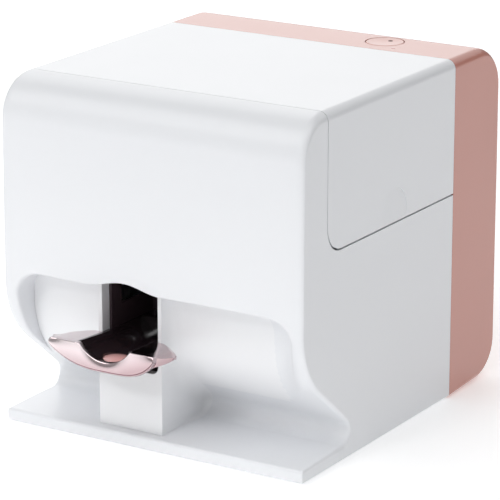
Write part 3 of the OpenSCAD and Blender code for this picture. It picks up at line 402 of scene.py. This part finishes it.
def belly_y(z):
    """How far the outer face lies behind the front plane at a height."""
    if z >= BELLY_Z:
        return 0.0
    turned_z = BELLY_Z - BELLY * slope_s
    if z >= turned_z:
        return BELLY - math.sqrt(BELLY ** 2 - (BELLY_Z - z) ** 2)
    return BELLY * (1 - slope_c) + (turned_z - z) * slope_s / slope_c


def panel_y(z):
    """The same for the recess's back wall."""
    if z >= panel_cz:
        return PANEL_Y
    return panel_cy - math.sqrt(panel_r ** 2 - (panel_cz - max(z, join_z)) ** 2)


def share_of(x, start, end):
    """How much of the way from start to end has been gone, from 0 to 1."""
    return min(max((x - start) / (end - start), 0.0), 1.0)


def fallback(r, depth):
    """How far a round edge of radius r still stands back at a depth."""
    return r - math.sqrt(max(r ** 2 - max(r - depth, 0.0) ** 2, 0.0))


def opening():
    """The recess as a cutter: a round lip in front, a crisp corner at the left and a broad sweep at the right."""
    foot, least = 22.0, 0.3                         # the outline's lower end, and the least depth
    sweep, sweep_start, sweep_end = 21.0, 38.0, 84.0
    lip_r, right_more, left_more, left_x = 1.1, 3.6, 1.2, -70
    # steps from the back wall (0) to the outer face (1), closer together near both
    shares = (0, .02, .05, .1, .17, .26, .37, .5, .62, .73, .82, .89, .94, .98, 1)
    plain, grown = recess_outline(0.0, foot), recess_outline(1.0, foot)
    rows = []
    for share, flat_y in [(0, 70.0)] + [(share, None) for share in shares] + [(1, -30.0)]:
        row = []
        for (x, z), (gx, gz) in zip(plain, grown):
            right = share_of(x, sweep_start, sweep_end)
            right = right * right * (3 - 2 * right)
            depth = max(panel_y(z) - belly_y(z), least)
            pull = right * fallback(sweep, share * depth)
            lip = min(lip_r + right_more * right + (left_more if x < left_x else 0.0), 0.9 * depth)
            grow = fallback(lip, (1 - share) * depth)
            px, pz = x + grow * (gx - x) - pull, z + grow * (gz - z) * (1 - 0.75 * right)
            py = panel_y(pz) - share * max(panel_y(pz) - belly_y(pz), least) if flat_y is None else flat_y
            row.append((px, py, pz))
        rows.append(row)
    return skinned("opening", rows)


# the moulding, hollow behind, with a sleeve round the recess; the cuts end a hair behind the
# back wall's faces, so that no two faces coincide
hollow = prism("hollow", [(SPLIT + 1, WALL), (SPLIT + 1, HEIGHT - WALL)]
               + pulled_in(turn(BROW, HEIGHT - BROW, BROW, 90, 180, 12, 1, 0), WALL)
               + pulled_in(turn(BELLY, BELLY_Z, BELLY, 180, 180 + SLOPE, 12, 1, 0), WALL)
               + pulled_in(turn(waist_y, waist_z, WAIST, SLOPE, 0, 5, -1, 0), WALL)
               + [(waist_y + WAIST + WALL, WALL)], "x", -HALF + WALL, HALF - WALL)
sleeve = joined(prism("sleeve", recess_outline(WALL, 30.0), "y", -20.0, 50.0), before_panel(PANEL_T), "INTERSECT")
hollow = joined(hollow, sleeve)
body = joined(rounded_slab("body_moulding", front_profile), hollow)
seat_of_panel = prism("seat_of_panel", recess_outline(0, 20.0), "y", -20.0, 50.0)
seat_of_panel = joined(joined(seat_of_panel, before_panel(PANEL_T + 0.1), "INTERSECT"), before_panel(0.02))
body = joined(body, seat_of_panel)
body = joined(body, joined(opening(), before_panel(0.03), "INTERSECT"))

# the lid's place: its front and lower edge, its barrel along the left, and the seams round it;
# the last cut opens the foot
LID_Y, DOOR_Z, DOOR_R, SEAM, DOOR_SEAM = 27.2, 131.0, 16.0, 0.3, 0.7
HINGE_X, HINGE_Z = -HALF + EDGE, HEIGHT - EDGE


def door_outline(y0, low, r):
    """The lid in the side view, open upwards, with a round lower front corner."""
    return [(y0, HEIGHT + 5)] + arc(y0 + r, low + r, r, 180, 270, 12) + [(SPLIT + 5, low), (SPLIT + 5, HEIGHT + 5)]


body = joined(body, prism("door", door_outline(LID_Y - DOOR_SEAM, DOOR_Z, DOOR_R), "x", HINGE_X + 4, HALF + 10))
body = joined(body, rod("y", HINGE_X, HINGE_Z, EDGE + SEAM, LID_Y - SEAM, SPLIT + 1))
body = joined(body, block((-HALF - 1, LID_Y - SEAM, HINGE_Z - 2), (HINGE_X + 5, SPLIT + 1, HEIGHT + 1)))
body = joined(body, block((-HALF + WALL + 5, waist_y + WAIST + 8, -1), (HALF - WALL - 5, SPLIT + 1, WALL + 1)))


def on_outside(p):
    """The brow, the lid's seam, the joint with the rear shell and the foot, but not the recess."""
    return (p.y < 4 and p.z > LIP + 8) or p.z > DOOR_Z - 6 or p.y > SPLIT - 0.1 or p.z < 0.2


body = soften(body, 0.3, 50.0, where=on_outside)
white = moulded("white_moulding", (0.855, 0.869, 0.894), (0.835, 0.849, 0.876), 0.34, 0.25)
seat(body, "housing", "white_shell", white, "main_shell")

# ---------------------------------------------------------------- recess panel and finger column
# A second white moulding snaps in behind the lip. It carries the column with the finger port,
# whose sides run into the panel in a soft cove.
COLUMN_HALF, COLUMN_Y, COLUMN_TOP = 22.5, 7.5, 112.0
PORT_HALF, PORT_Z, PORT_R, PORT_END = 19.75, 46.0, 4.5, 120
HAIR, PLAY = 0.05, 0.15                             # kept inside a face it would coincide with, and off the lip
foot_z = TOE - 0.55
panel = prism("recess_moulding", panel_face(0, 28) + [(PANEL_Y, PANEL_TOP), (PANEL_Y + PANEL_T, PANEL_TOP)]
              + list(reversed(panel_face(PANEL_T, 28))), "x", -RECESS_HALF + PLAY, RECESS_HALF - PLAY)
column = block((PORT_X - COLUMN_HALF, COLUMN_Y, foot_z), (PORT_X + COLUMN_HALF, waist_y + WAIST, COLUMN_TOP))
ahead_of_body = ([(-5, foot_z), (COLUMN_Y, foot_z), (waist_y, TOE + HAIR)]
                 + arc(waist_y, waist_z, WAIST - HAIR, -80, 50, 13)
                 + [(join_y - HAIR * slope_c, join_z - HAIR * slope_s)] + panel_face(1.0, 28)[3:]
                 + [(PANEL_Y + 1, COLUMN_TOP), (-5, COLUMN_TOP)])
column = joined(column, prism("ahead_of_body", ahead_of_body, "x", -HALF, HALF), "INTERSECT")
under_lip = [(x, z - PLAY) for x, z in recess_outline(0, 0.0)]
column = joined(column, prism("under_lip", under_lip, "y", -5, 80), "INTERSECT")
port = ([(PORT_X + PORT_HALF, PORT_END), (PORT_X - PORT_HALF, PORT_END)]
        + arc(PORT_X - PORT_HALF + PORT_R, PORT_Z + PORT_R, PORT_R, 180, 270, 9)
        + arc(PORT_X + PORT_HALF - PORT_R, PORT_Z + PORT_R, PORT_R, 270, 360, 9))
column = joined(column, prism("port", port, "y", COLUMN_Y - 2, PANEL_Y - 5))
for piece, y0, y1 in ((column, PANEL_Y - 5.5, 80), (panel, 10, 60)):
    joined(piece, block((PORT_X - PORT_HALF, y0, PORT_Z - 2), (PORT_X + PORT_HALF, y1, PORT_END)))
column = soften(column, 0.8, 50.0, 3, lambda p: p.y < COLUMN_Y + 0.1)


def cove(side):
    """The hollow fillet between one side of the column and the panel, the slope and the toe."""
    wide, narrow, lap = 9.0, 7.0, -0.3
    path = [(PANEL_Y, z, -1.0, 0.0, wide) for z in (100.0, 93.0, 86.0)]
    path += turn(panel_cy, panel_cz, panel_r, 180, 180 + SLOPE, 14, 1, wide)
    middle = (join_y + waist_y + WAIST * slope_c) / 2
    path += [(middle, join_z - (middle - join_y) * slope_c / slope_s, -slope_c, -slope_s, 8.5)]
    for i, (y, z, ny, nz, _) in enumerate(turn(waist_y, waist_z, WAIST, SLOPE, -90, 16, -1, 0)):
        path.append((y, z, ny, nz, narrow - 4.6 * i / 16))
    on_toe = ((30.0, 0.15, 1.6), (16.0, 0.45, 0.8), (8.6, 0.58, 0.3))
    path += [(y, TOE - fall, 0.0, 1.0, r) for y, fall, r in on_toe]
    edge = PORT_X + side * COLUMN_HALF
    rows = []
    for y, z, ny, nz, r in path:
        section = arc(r, r, r, 180, 270, 10) + [(0.9 * r, lap), (lap, lap), (lap, 0.9 * r)]
        rows.append([(edge + side * out, y + ny * lift, z + nz * lift) for out, lift in section])
    return skinned("cove", rows)


def merged(piece, *others):
    """Puts loose solids into one mesh, without cutting them."""
    work = bmesh.new()
    work.from_mesh(piece.data)
    for other in others:
        work.from_mesh(other.data)
        spent = other.data
        bpy.data.objects.remove(other)
        bpy.data.meshes.remove(spent)
    work.to_mesh(piece.data)
    work.free()
    return piece


panel = merged(panel, column, cove(1), cove(-1))
# painted light: the panel's white is lighter than the body's, standing in for light that reaches into the recess
# and onto the column
panel_white_painted_light = moulded("panel_white_painted_light", (0.895, 0.903, 0.92), (0.88, 0.888, 0.905), 0.36, 0.22)
seat(panel, "housing", "white_shell", panel_white_painted_light, "recess_panel")

# ---------------------------------------------------------------- lid
# The top and right side are one white cover. It turns about a barrel along the left edge
# and has a shallow scoop for a fingertip, deepest under its round upper rim.
DOOR_GAP = 1.1
lid_low = DOOR_Z + DOOR_GAP
SCOOP_Y, SCOOP_R, SCOOP_Z, SCOOP_DEPTH, SCOOP_TILT = 106.0, 15.0, DOOR_Z + 7, 0.9, -2.4
RIB_HALF, RIB_DROP = 0.8, 4


def lid_section(inset):
    """The lid from the front, from the hinge over the edge and down the side."""
    bend = arc(HALF - EDGE, HEIGHT - EDGE, EDGE - inset, 90, 0, 10)
    return [(HINGE_X, HEIGHT - inset)] + bend + [(HALF - inset, lid_low)]


lid = prism("lid_moulding", lid_section(0) + list(reversed(lid_section(WALL))), "y", LID_Y, SPLIT)
lid = joined(lid, prism("door", door_outline(LID_Y, lid_low, DOOR_R - SEAM), "x", -HALF - 1, HALF + 1), "INTERSECT")
pad = block((HALF - WALL - 5, SCOOP_Y - 18, lid_low), (HALF - WALL + 0.5, SCOOP_Y + 18, SCOOP_Z + SCOOP_R + 3))
lid = joined(lid, pad, "UNION")
lid = joined(lid, rod("y", HINGE_X, HINGE_Z, EDGE, LID_Y, SPLIT, 64), "UNION")
for y in (LID_Y + 22, (LID_Y + SPLIT) / 2, SPLIT - 22):
    lid = joined(lid, block((HINGE_X, y - RIB_HALF, HEIGHT - WALL - RIB_DROP),
                            (HALF - WALL - 6, y + RIB_HALF, HEIGHT - WALL + 0.5)), "UNION")
scoop = rod("x", SCOOP_Y, -SCOOP_R, SCOOP_R, 0.0, 20.0, 64)
scoop.data.transform(Matrix.Translation((HALF - SCOOP_DEPTH, 0, SCOOP_Z + SCOOP_R))
                     @ Matrix.Rotation(math.radians(SCOOP_TILT), 4, "Y"))
lid = joined(lid, scoop)
lid = soften(lid, 0.3, 40.0)
seat(lid, "lid", "white_shell", white, "lid")

# ---------------------------------------------------------------- pink rear shell
# The back is a pearl pink moulding with round top and bottom corners. It holds the power
# button in a ring groove, the vents, the power inlet and the main board.
REAR_R, FOOT_R = 27.0, 24.0
BUTTON_X, BUTTON_Y, BUTTON_R, BUTTON_GAP = 43.5, DEPTH - 38.0, 12.0, 0.45
COLLAR_R, COLLAR_BORE, STEM_HOLE = 15.3, 13.8, 2.75
LAMP_X, LAMP_Y, LAMP_R = 57.5, DEPTH - 52.5, 1.3
VENTS, VENT_PITCH, VENT_R, VENT_LOW, VENT_HIGH = 9, 8.0, 1.25, 136, 164
INLET_LEFT, INLET_RIGHT, INLET_LOW, INLET_HIGH = 45.15, 54.85, 24.25, 35.75
inside_z = HEIGHT - WALL
rear_profile = (
    [(SPLIT + SEAM, HEIGHT, 0, 1, EDGE), (SPLIT + SEAM, 0.0, 0, -1, FOOT_EDGE)]
    + turn(DEPTH - FOOT_R, FOOT_R, FOOT_R, -90, 0, 22, 1, 4.5)
    + [(DEPTH, z, 1, 0, 5.0) for z in (80.0, 135.0)]
    + turn(DEPTH - REAR_R, HEIGHT - REAR_R, REAR_R, 0, 90, 24, 1, EDGE)
)
rear = rounded_slab("rear_moulding", rear_profile)
rear = joined(rear, prism("rear_hollow", [(SPLIT - 1, HEIGHT - WALL), (SPLIT - 1, WALL)]
                          + pulled_in(turn(DEPTH - FOOT_R, FOOT_R, FOOT_R, -90, 0, 12, 1, 0), WALL)
                          + pulled_in(turn(DEPTH - REAR_R, HEIGHT - REAR_R, REAR_R, 0, 90, 12, 1, 0), WALL),
                          "x", -HALF + WALL, HALF - WALL))
rear = joined(rear, rod("z", BUTTON_X, BUTTON_Y, COLLAR_R, inside_z - 12, inside_z + 1), "UNION")
rear = joined(rear, rod("z", BUTTON_X, BUTTON_Y, COLLAR_BORE, inside_z - 10.5, inside_z))
rear = joined(rear, rod("z", BUTTON_X, BUTTON_Y, BUTTON_R + BUTTON_GAP, inside_z - 5, HEIGHT + 1, 72))
rear = joined(rear, rod("z", BUTTON_X, BUTTON_Y, STEM_HOLE, inside_z - 20, inside_z - 9))
rear = joined(rear, rod("z", LAMP_X, LAMP_Y, LAMP_R, inside_z - 3, HEIGHT + 1, 24))
for i in range(VENTS):
    x = (i - VENTS // 2) * VENT_PITCH
    slot = arc(x, VENT_HIGH, VENT_R, 0, 180, 9) + arc(x, VENT_LOW, VENT_R, 180, 360, 9)
    rear = joined(rear, prism("vent", slot, "y", DEPTH - 8, DEPTH + 2))
rear = joined(rear, block((INLET_LEFT, DEPTH - 6, INLET_LOW), (INLET_RIGHT, DEPTH + 1, INLET_HIGH)))
rear = joined(rear, block((-HALF + WALL + 5, SPLIT - 1, -1), (HALF - WALL - 5, DEPTH - FOOT_R - 5, WALL + 1)))
rear = soften(rear, 0.3, 40.0, where=lambda p: p.y > DEPTH - 0.1 or p.z > HEIGHT - 0.1 or p.y < SPLIT + SEAM + 0.05)
PINK, PINK_DEEP, PINK_ROUGH, PINK_COAT = (0.61, 0.252, 0.197), (0.58, 0.236, 0.184), 0.3, 0.5


def pearly(finish):
    """Adds the pearl lacquer's faint sheen and its stronger gloss."""
    for socket, value in (("Sheen Weight", 0.1), ("Sheen Roughness", 0.4), ("Coat IOR", 1.6)):
        finish.set(socket, value)
    return finish


pink = pearly(moulded("pink_moulding", PINK, PINK_DEEP, PINK_ROUGH, PINK_COAT))
seat(rear, "housing", "pink_shell", pink, "rear_shell")

# ---------------------------------------------------------------- power button
# A round cap in the same pink, slightly dished, standing in a ring groove on a spring. A small
# dark dot is printed behind its middle.
FLANGE_R, STEM_R = 13.3, 2.5
cap = [(0.0, HEIGHT - 0.35), (4.0, HEIGHT - 0.33), (8.0, HEIGHT - 0.2), (10.6, HEIGHT - 0.03), (11.4, HEIGHT),
       (11.75, HEIGHT - 0.12), (11.95, HEIGHT - 0.4), (BUTTON_R, HEIGHT - 0.9), (BUTTON_R, inside_z - 0.1),
       (FLANGE_R, inside_z - 0.1), (FLANGE_R, inside_z - 1.3), (STEM_R, inside_z - 1.3),
       (STEM_R, inside_z - 13.3), (0.0, inside_z - 13.3)]


def turned(name, section, cx, cy, sides=72):
    """A section of (radius, height) spun about an upright axis."""
    points, rings = [], []
    for r, z in section:
        if r == 0.0:
            rings.append([len(points)] * sides)
            points.append((cx, cy, z))
        else:
            rings.append([len(points) + k for k in range(sides)])
            points += [(x, y, z) for x, y in arc(cx, cy, r, 0, 360, sides)[:-1]]
    faces = []
    for a, b in zip(rings, rings[1:]):
        for k in range(sides):
            corners = []
            for v in (a[k], a[(k + 1) % sides], b[(k + 1) % sides], b[k]):
                if v not in corners:
                    corners.append(v)
            if len(corners) > 2:
                faces.append(tuple(corners))
    return mesh_of(name, points, faces)


button = turned("button_cap", cap, BUTTON_X, BUTTON_Y)
DOT_X, DOT_Y, DOT_R = 0.04496, 0.09856, 0.0016      # in metres
DOT_EDGE, DOT_COLOUR = 6.0, (0.05, 0.03, 0.03)
capped = pearly(Finish("pink_cap", PINK, PINK_ROUGH, coat=PINK_COAT))
across, along = (capped.along("X") - DOT_X) * (1.0 / DOT_R), (capped.along("Y") - DOT_Y) * (1.0 / DOT_R)
dot = capped.node("ShaderNodeMath", {"operation": "MULTIPLY", "use_clamp": True},
                  {0: 1.0 - (across * across + along * along), 1: DOT_EDGE})
capped.set("Base Color", capped.blend(dot, PINK, DOT_COLOUR))
capped.set("Roughness", mould_skin(capped, PINK_ROUGH, FINE_GRAIN) + 0.6 * dot)
capped.set("Coat Weight", PINK_COAT - PINK_COAT * dot)
seat(button, "power_button", "pink_shell", capped, "power_button")

# ---------------------------------------------------------------- finger lever
# Rose-gold plated wings with a crescent plate in front, past a thin dark seam, on a glossy
# black trough. The whole lever is pressed down against two springs.
REACH, SKIN = 24.0, 4.0                             # how far the plate stands ahead of the body, and its thickness
WING_HALF, PLATE_HALF, CRADLE_HALF = 42.5, 37.0, 19.2
LEVER_Z, TILT, CRADLE_Z, BLUNT = 66.5, 0.065, 52.5, 4.6
DIP_X, DIP_HALF, DIP_LOW = 2.2, 17.6, 59.3          # the round dip in the plate's top edge
LEFT_BEND, RIGHT_BEND = 2.6, 4.2                    # how late the underside rises towards either tip


def lever_top(y):
    """The height of the lever's top, which rises a little towards the front."""
    return LEVER_Z + max(COLUMN_Y - y, 0.0) * TILT


dip_top = lever_top(SKIN - REACH)
dip_radius = (DIP_HALF ** 2 + (dip_top - DIP_LOW) ** 2) / (2 * (dip_top - DIP_LOW))


def lever_low(x, half):
    """The height of its underside, which curves up towards both tips."""
    bend = RIGHT_BEND if x > 0 else LEFT_BEND
    return CRADLE_Z + 0.2 + (LEVER_Z + 1.8 - BLUNT - CRADLE_Z) * min(abs(x) / half, 1.0) ** bend


def droop(x, start, end, drop):
    """How far an edge has rounded off towards the lever's tip."""
    t = share_of(abs(x), start, end)
    return drop * (1.0 - math.sqrt(1.0 - t * t))


def rounded_section(corners, radii, steps=3):
    """A polygon in (y, z) with its corners rounded."""
    out, n = [], len(corners)
    for i, here in enumerate(corners):
        here, back, ahead = Vector(here), Vector(corners[i - 1]), Vector(corners[(i + 1) % n])
        u, v = (back - here), (ahead - here)
        reach = min(radii[i], 0.45 * u.length, 0.45 * v.length)
        a, b = here + u.normalized() * reach, here + v.normalized() * reach
        for k in range(steps + 1):
            t = k / steps
            out.append(tuple((1 - t) ** 2 * a + 2 * t * (1 - t) * here + t * t * b))
    return out


def swept(name, stations):
    """Skins upright sections, each given as its x and its points in (y, z)."""
    return skinned(name, [[(x, y, z) for y, z in section] for x, section in stations])


plate_y, seam_y, TIP = -REACH, SKIN - REACH, 1.2
marks = [PLATE_HALF * (1 - (1 - i / 28.0) ** 1.8) for i in range(29)]
stations = []
for x in [-m for m in reversed(marks[1:])] + marks:
    low = lever_low(x, PLATE_HALF) + droop(x, PLATE_HALF - TIP, PLATE_HALF, 1.2)
    top = lever_top(plate_y) - droop(x, PLATE_HALF - TIP, PLATE_HALF, 0.8)
    if abs(x - DIP_X) < DIP_HALF:
        top = min(top, DIP_LOW + dip_radius - math.sqrt(dip_radius ** 2 - (x - DIP_X) ** 2))
    groove = low + 1.5
    face = [(plate_y + 0.8 * (1 - k / 8) ** 2, top - 0.35 - (top - 0.35 - groove - 0.3) * k / 8) for k in range(9)]
    beneath = [(plate_y + 0.5, groove), (plate_y + 0.15, groove - 0.25), (plate_y + 0.6, groove - 0.9),
               (plate_y + 1.7, low), (seam_y, low)]
    stations.append((PORT_X + x, [(seam_y, top), (plate_y + 1.2, top)] + face + beneath))
crescent = swept("lever_crescent", stations)


def underside(y):
    """The height that the wings' underside keeps above, rising towards the body."""
    return CRADLE_Z + (60.5 - CRADLE_Z) * share_of(y, -12.0, COLUMN_Y)


def wing(side):
    """A wing behind the plate, widest near its middle, with a facet above and below its outer edge."""
    stations = []
    for i in range(37):
        x = CRADLE_HALF + (WING_HALF - CRADLE_HALF) * (1 - (1 - i / 36.0) ** 1.9)
        ahead, back = share_of(x, 36.0, WING_HALF), share_of(x, 26.0, WING_HALF)
        end = droop(x, WING_HALF - 1.0, WING_HALF, 1.0)
        near = seam_y + 0.15 + 9.5 * ahead ** 1.5 + 0.3 * end
        far = max(-10.0 + 16.9 * (1.0 - back ** 1.6) ** (1 / 1.6) - 0.3 * end, near + 0.5)
        slim = 3.4 * share_of(x, CRADLE_HALF, CRADLE_HALF + 6.0) * (1 - 0.9 * ahead) if side > 0 else 0.0
        low = lever_low(side * x, WING_HALF) + slim
        low_near, low_far = max(low, underside(near)) + 0.4 * end, max(low, underside(far)) + 0.4 * end
        fall = 2.0 * back ** 2 * (1 - ahead) + 2.0 * ahead
        top_near, top_far = lever_top(near) - 0.5 * end - fall * 0.7, lever_top(far) - 0.5 * end - fall
        fade = share_of(x, 24.0, 32.0)
        cut, crown = 1.3 * fade, min(4.2 * fade, 0.6 * (far - near))
        corners = [(near, top_near), (near, low_near), (far - cut, low_far), (far, low_far + 0.1 + cut),
                   (far, top_far - 0.1 - 0.55 * crown), (far - crown, top_far)]
        stations.append((PORT_X + side * x, rounded_section(corners, [0.25, 0.25, 0.3, 0.3, 0.3, 0.3])))
    return swept("wing", stations)


wings = merged(wing(1), wing(-1))
wings.name = "lever_wing_pair"
# painted reflection and shade: the plating's colour is deeper low down and towards the right, and pale higher up,
# standing in for the dark gap and the pale room that the plate mirrors
PAINTED_SHADE_Z, PAINTED_SHADE_RISE, PAINTED_SHADE_X, PAINTED_SHADE_ASIDE = 0.0545, 85.0, 0.008, 34.0
plated = Finish("rose_plating", (0.80, 0.63, 0.655), 0.16, metallic=1.0)
height = (plated.along("Z") - PAINTED_SHADE_Z) * PAINTED_SHADE_RISE
aside = plated.node("ShaderNodeMath", {"operation": "MAXIMUM"}, {0: plated.along("X") + PAINTED_SHADE_X, 1: 0.0})
painted_reflection = plated.node("ShaderNodeMath", {"operation": "SMOOTH_MIN"},
                     {0: height + 0.25 * plated.noise(22.0) - 0.1 - PAINTED_SHADE_ASIDE * aside, 1: 1.0, 2: 0.2})
# painted reflection and shade: the colour runs from deep to pale with height, with a little noise, and deepens
# towards the right
plated.set("Base Color", plated.blend(painted_reflection, (0.53, 0.39, 0.41), (0.77, 0.68, 0.695)))
plated.set("Roughness", 0.13 + 0.05 * plated.noise(60.0, 3.0))
seat(crescent, "finger_lever", "rose_chrome", plated, "lever_front", angle=35.0)
seat(wings, "finger_lever", "rose_chrome", plated, "lever_wings", angle=60.0)


# ---------------------------------------------------------------- inner pieces and trim
# The black trough, the liner, the chassis, the drives, the carriage and the boards keep their
# modelled solids, each with the finish of its own stuff.
def metal(name, colour, roughness, stretch=(1.0, 1.0, 1.0)):
    """Bare metal with a fine grain, drawn out along the way it was worked."""
    finish = Finish(name, colour, roughness, metallic=1.0)
    grain = finish.noise(240.0, 4.0, 0.6, stretch)
    finish.set("Roughness", roughness - 0.08 + 0.16 * grain)
    finish.bump(grain, 0.15, 0.00004)
    return finish


def gloss_black():
    finish = Finish("black_gloss", (0.022, 0.014, 0.017), 0.12, coat=0.4)
    finish.set("Roughness", 0.08 + 0.08 * finish.noise(40.0, 3.0))
    return finish


def solder_mask():
    mask, tracked = (0.01, 0.09, 0.035), (0.02, 0.15, 0.06)
    finish = Finish("solder_mask", mask, 0.35, coat=0.3)
    tracks = finish.node("ShaderNodeTexBrick", {}, {"Vector": finish.place(), "Scale": 90.0, "Mortar Size": 0.03},
                         "Fac")
    finish.set("Base Color", finish.blend(tracks, mask, tracked))
    return finish


def soft_rubber():
    finish = Finish("soft_rubber", (0.025, 0.025, 0.027), 0.75)
    finish.set("Roughness", 0.68 + 0.15 * finish.noise(300.0, 3.0))
    finish.bump(finish.noise(900.0), 0.3, 0.00005)
    return finish


stuff = {
    "black_gloss": gloss_black(),
    "black_matte": moulded("black_matte", (0.060, 0.038, 0.046), (0.050, 0.031, 0.038), 0.5, 0.0, COARSE_GRAIN),
    "dark_plastic": moulded("dark_plastic", (0.075, 0.075, 0.08), (0.06, 0.06, 0.065), 0.45, 0.0, COARSE_GRAIN),
    "pad_pink": moulded("pad_pink", (0.88, 0.48, 0.46), (0.82, 0.42, 0.41), 0.14, 0.7),
    "sheet_steel": metal("sheet_steel", (0.66, 0.67, 0.69), 0.34, (1.0, 0.08, 1.0)),
    "ground_steel": metal("ground_steel", (0.74, 0.75, 0.77), 0.2, (0.05, 1.0, 1.0)),
    "bronze": metal("bronze", (0.62, 0.43, 0.22), 0.4),
    "rubber": soft_rubber(),
    "board_green": solder_mask(),
    "magnet": metal("nickel", (0.72, 0.71, 0.69), 0.16),
    "lamp": moulded("light_pipe", (0.50, 0.13, 0.10), (0.44, 0.10, 0.08), 0.2, 0.3),
    "white_shell": white,
    "pink_shell": pink,
    "rose_chrome": plated,
}
blackened = metal("blackened_steel", (0.045, 0.035, 0.04), 0.35, (1.0, 1.0, 0.2))
for part in frame["record"]["subparts"]:
    finish = blackened if part["node"] == "guide_pins" else stuff[part["material_slot"]]
    shown = frame["nodes"][part["node"]]
    shown.data.materials.clear()
    shown.data.materials.append(finish.material)

# ---------------------------------------------------------------- floor
# A pale matt table top that runs out of view on all sides. It glows softly from within, most
# of all half a metre ahead of the printer.
GLOW_SHIFT, GLOW_SCALE = (0.15, 1.0, 0.0), (2.0, 2.0, 2.0)
bpy.ops.mesh.primitive_plane_add(size=30.0, location=(0, 0, 0))
table_top = bpy.context.object
table_top.name = "table_top"
paper = Finish("pale_floor", (0.93, 0.93, 0.935), 0.6)
spot = paper.node("ShaderNodeMapping", {}, {"Vector": paper.place(), "Location": GLOW_SHIFT, "Scale": GLOW_SCALE})
glow = paper.node("ShaderNodeTexGradient", {"gradient_type": "QUADRATIC_SPHERE"}, {"Vector": spot}, "Fac")
paper.set("Emission Color", paper.blend(glow, (0.34, 0.34, 0.34), (1.0, 1.0, 1.0)))
paper.set("Emission Strength", 1.0)
table_top.data.materials.append(paper.material)
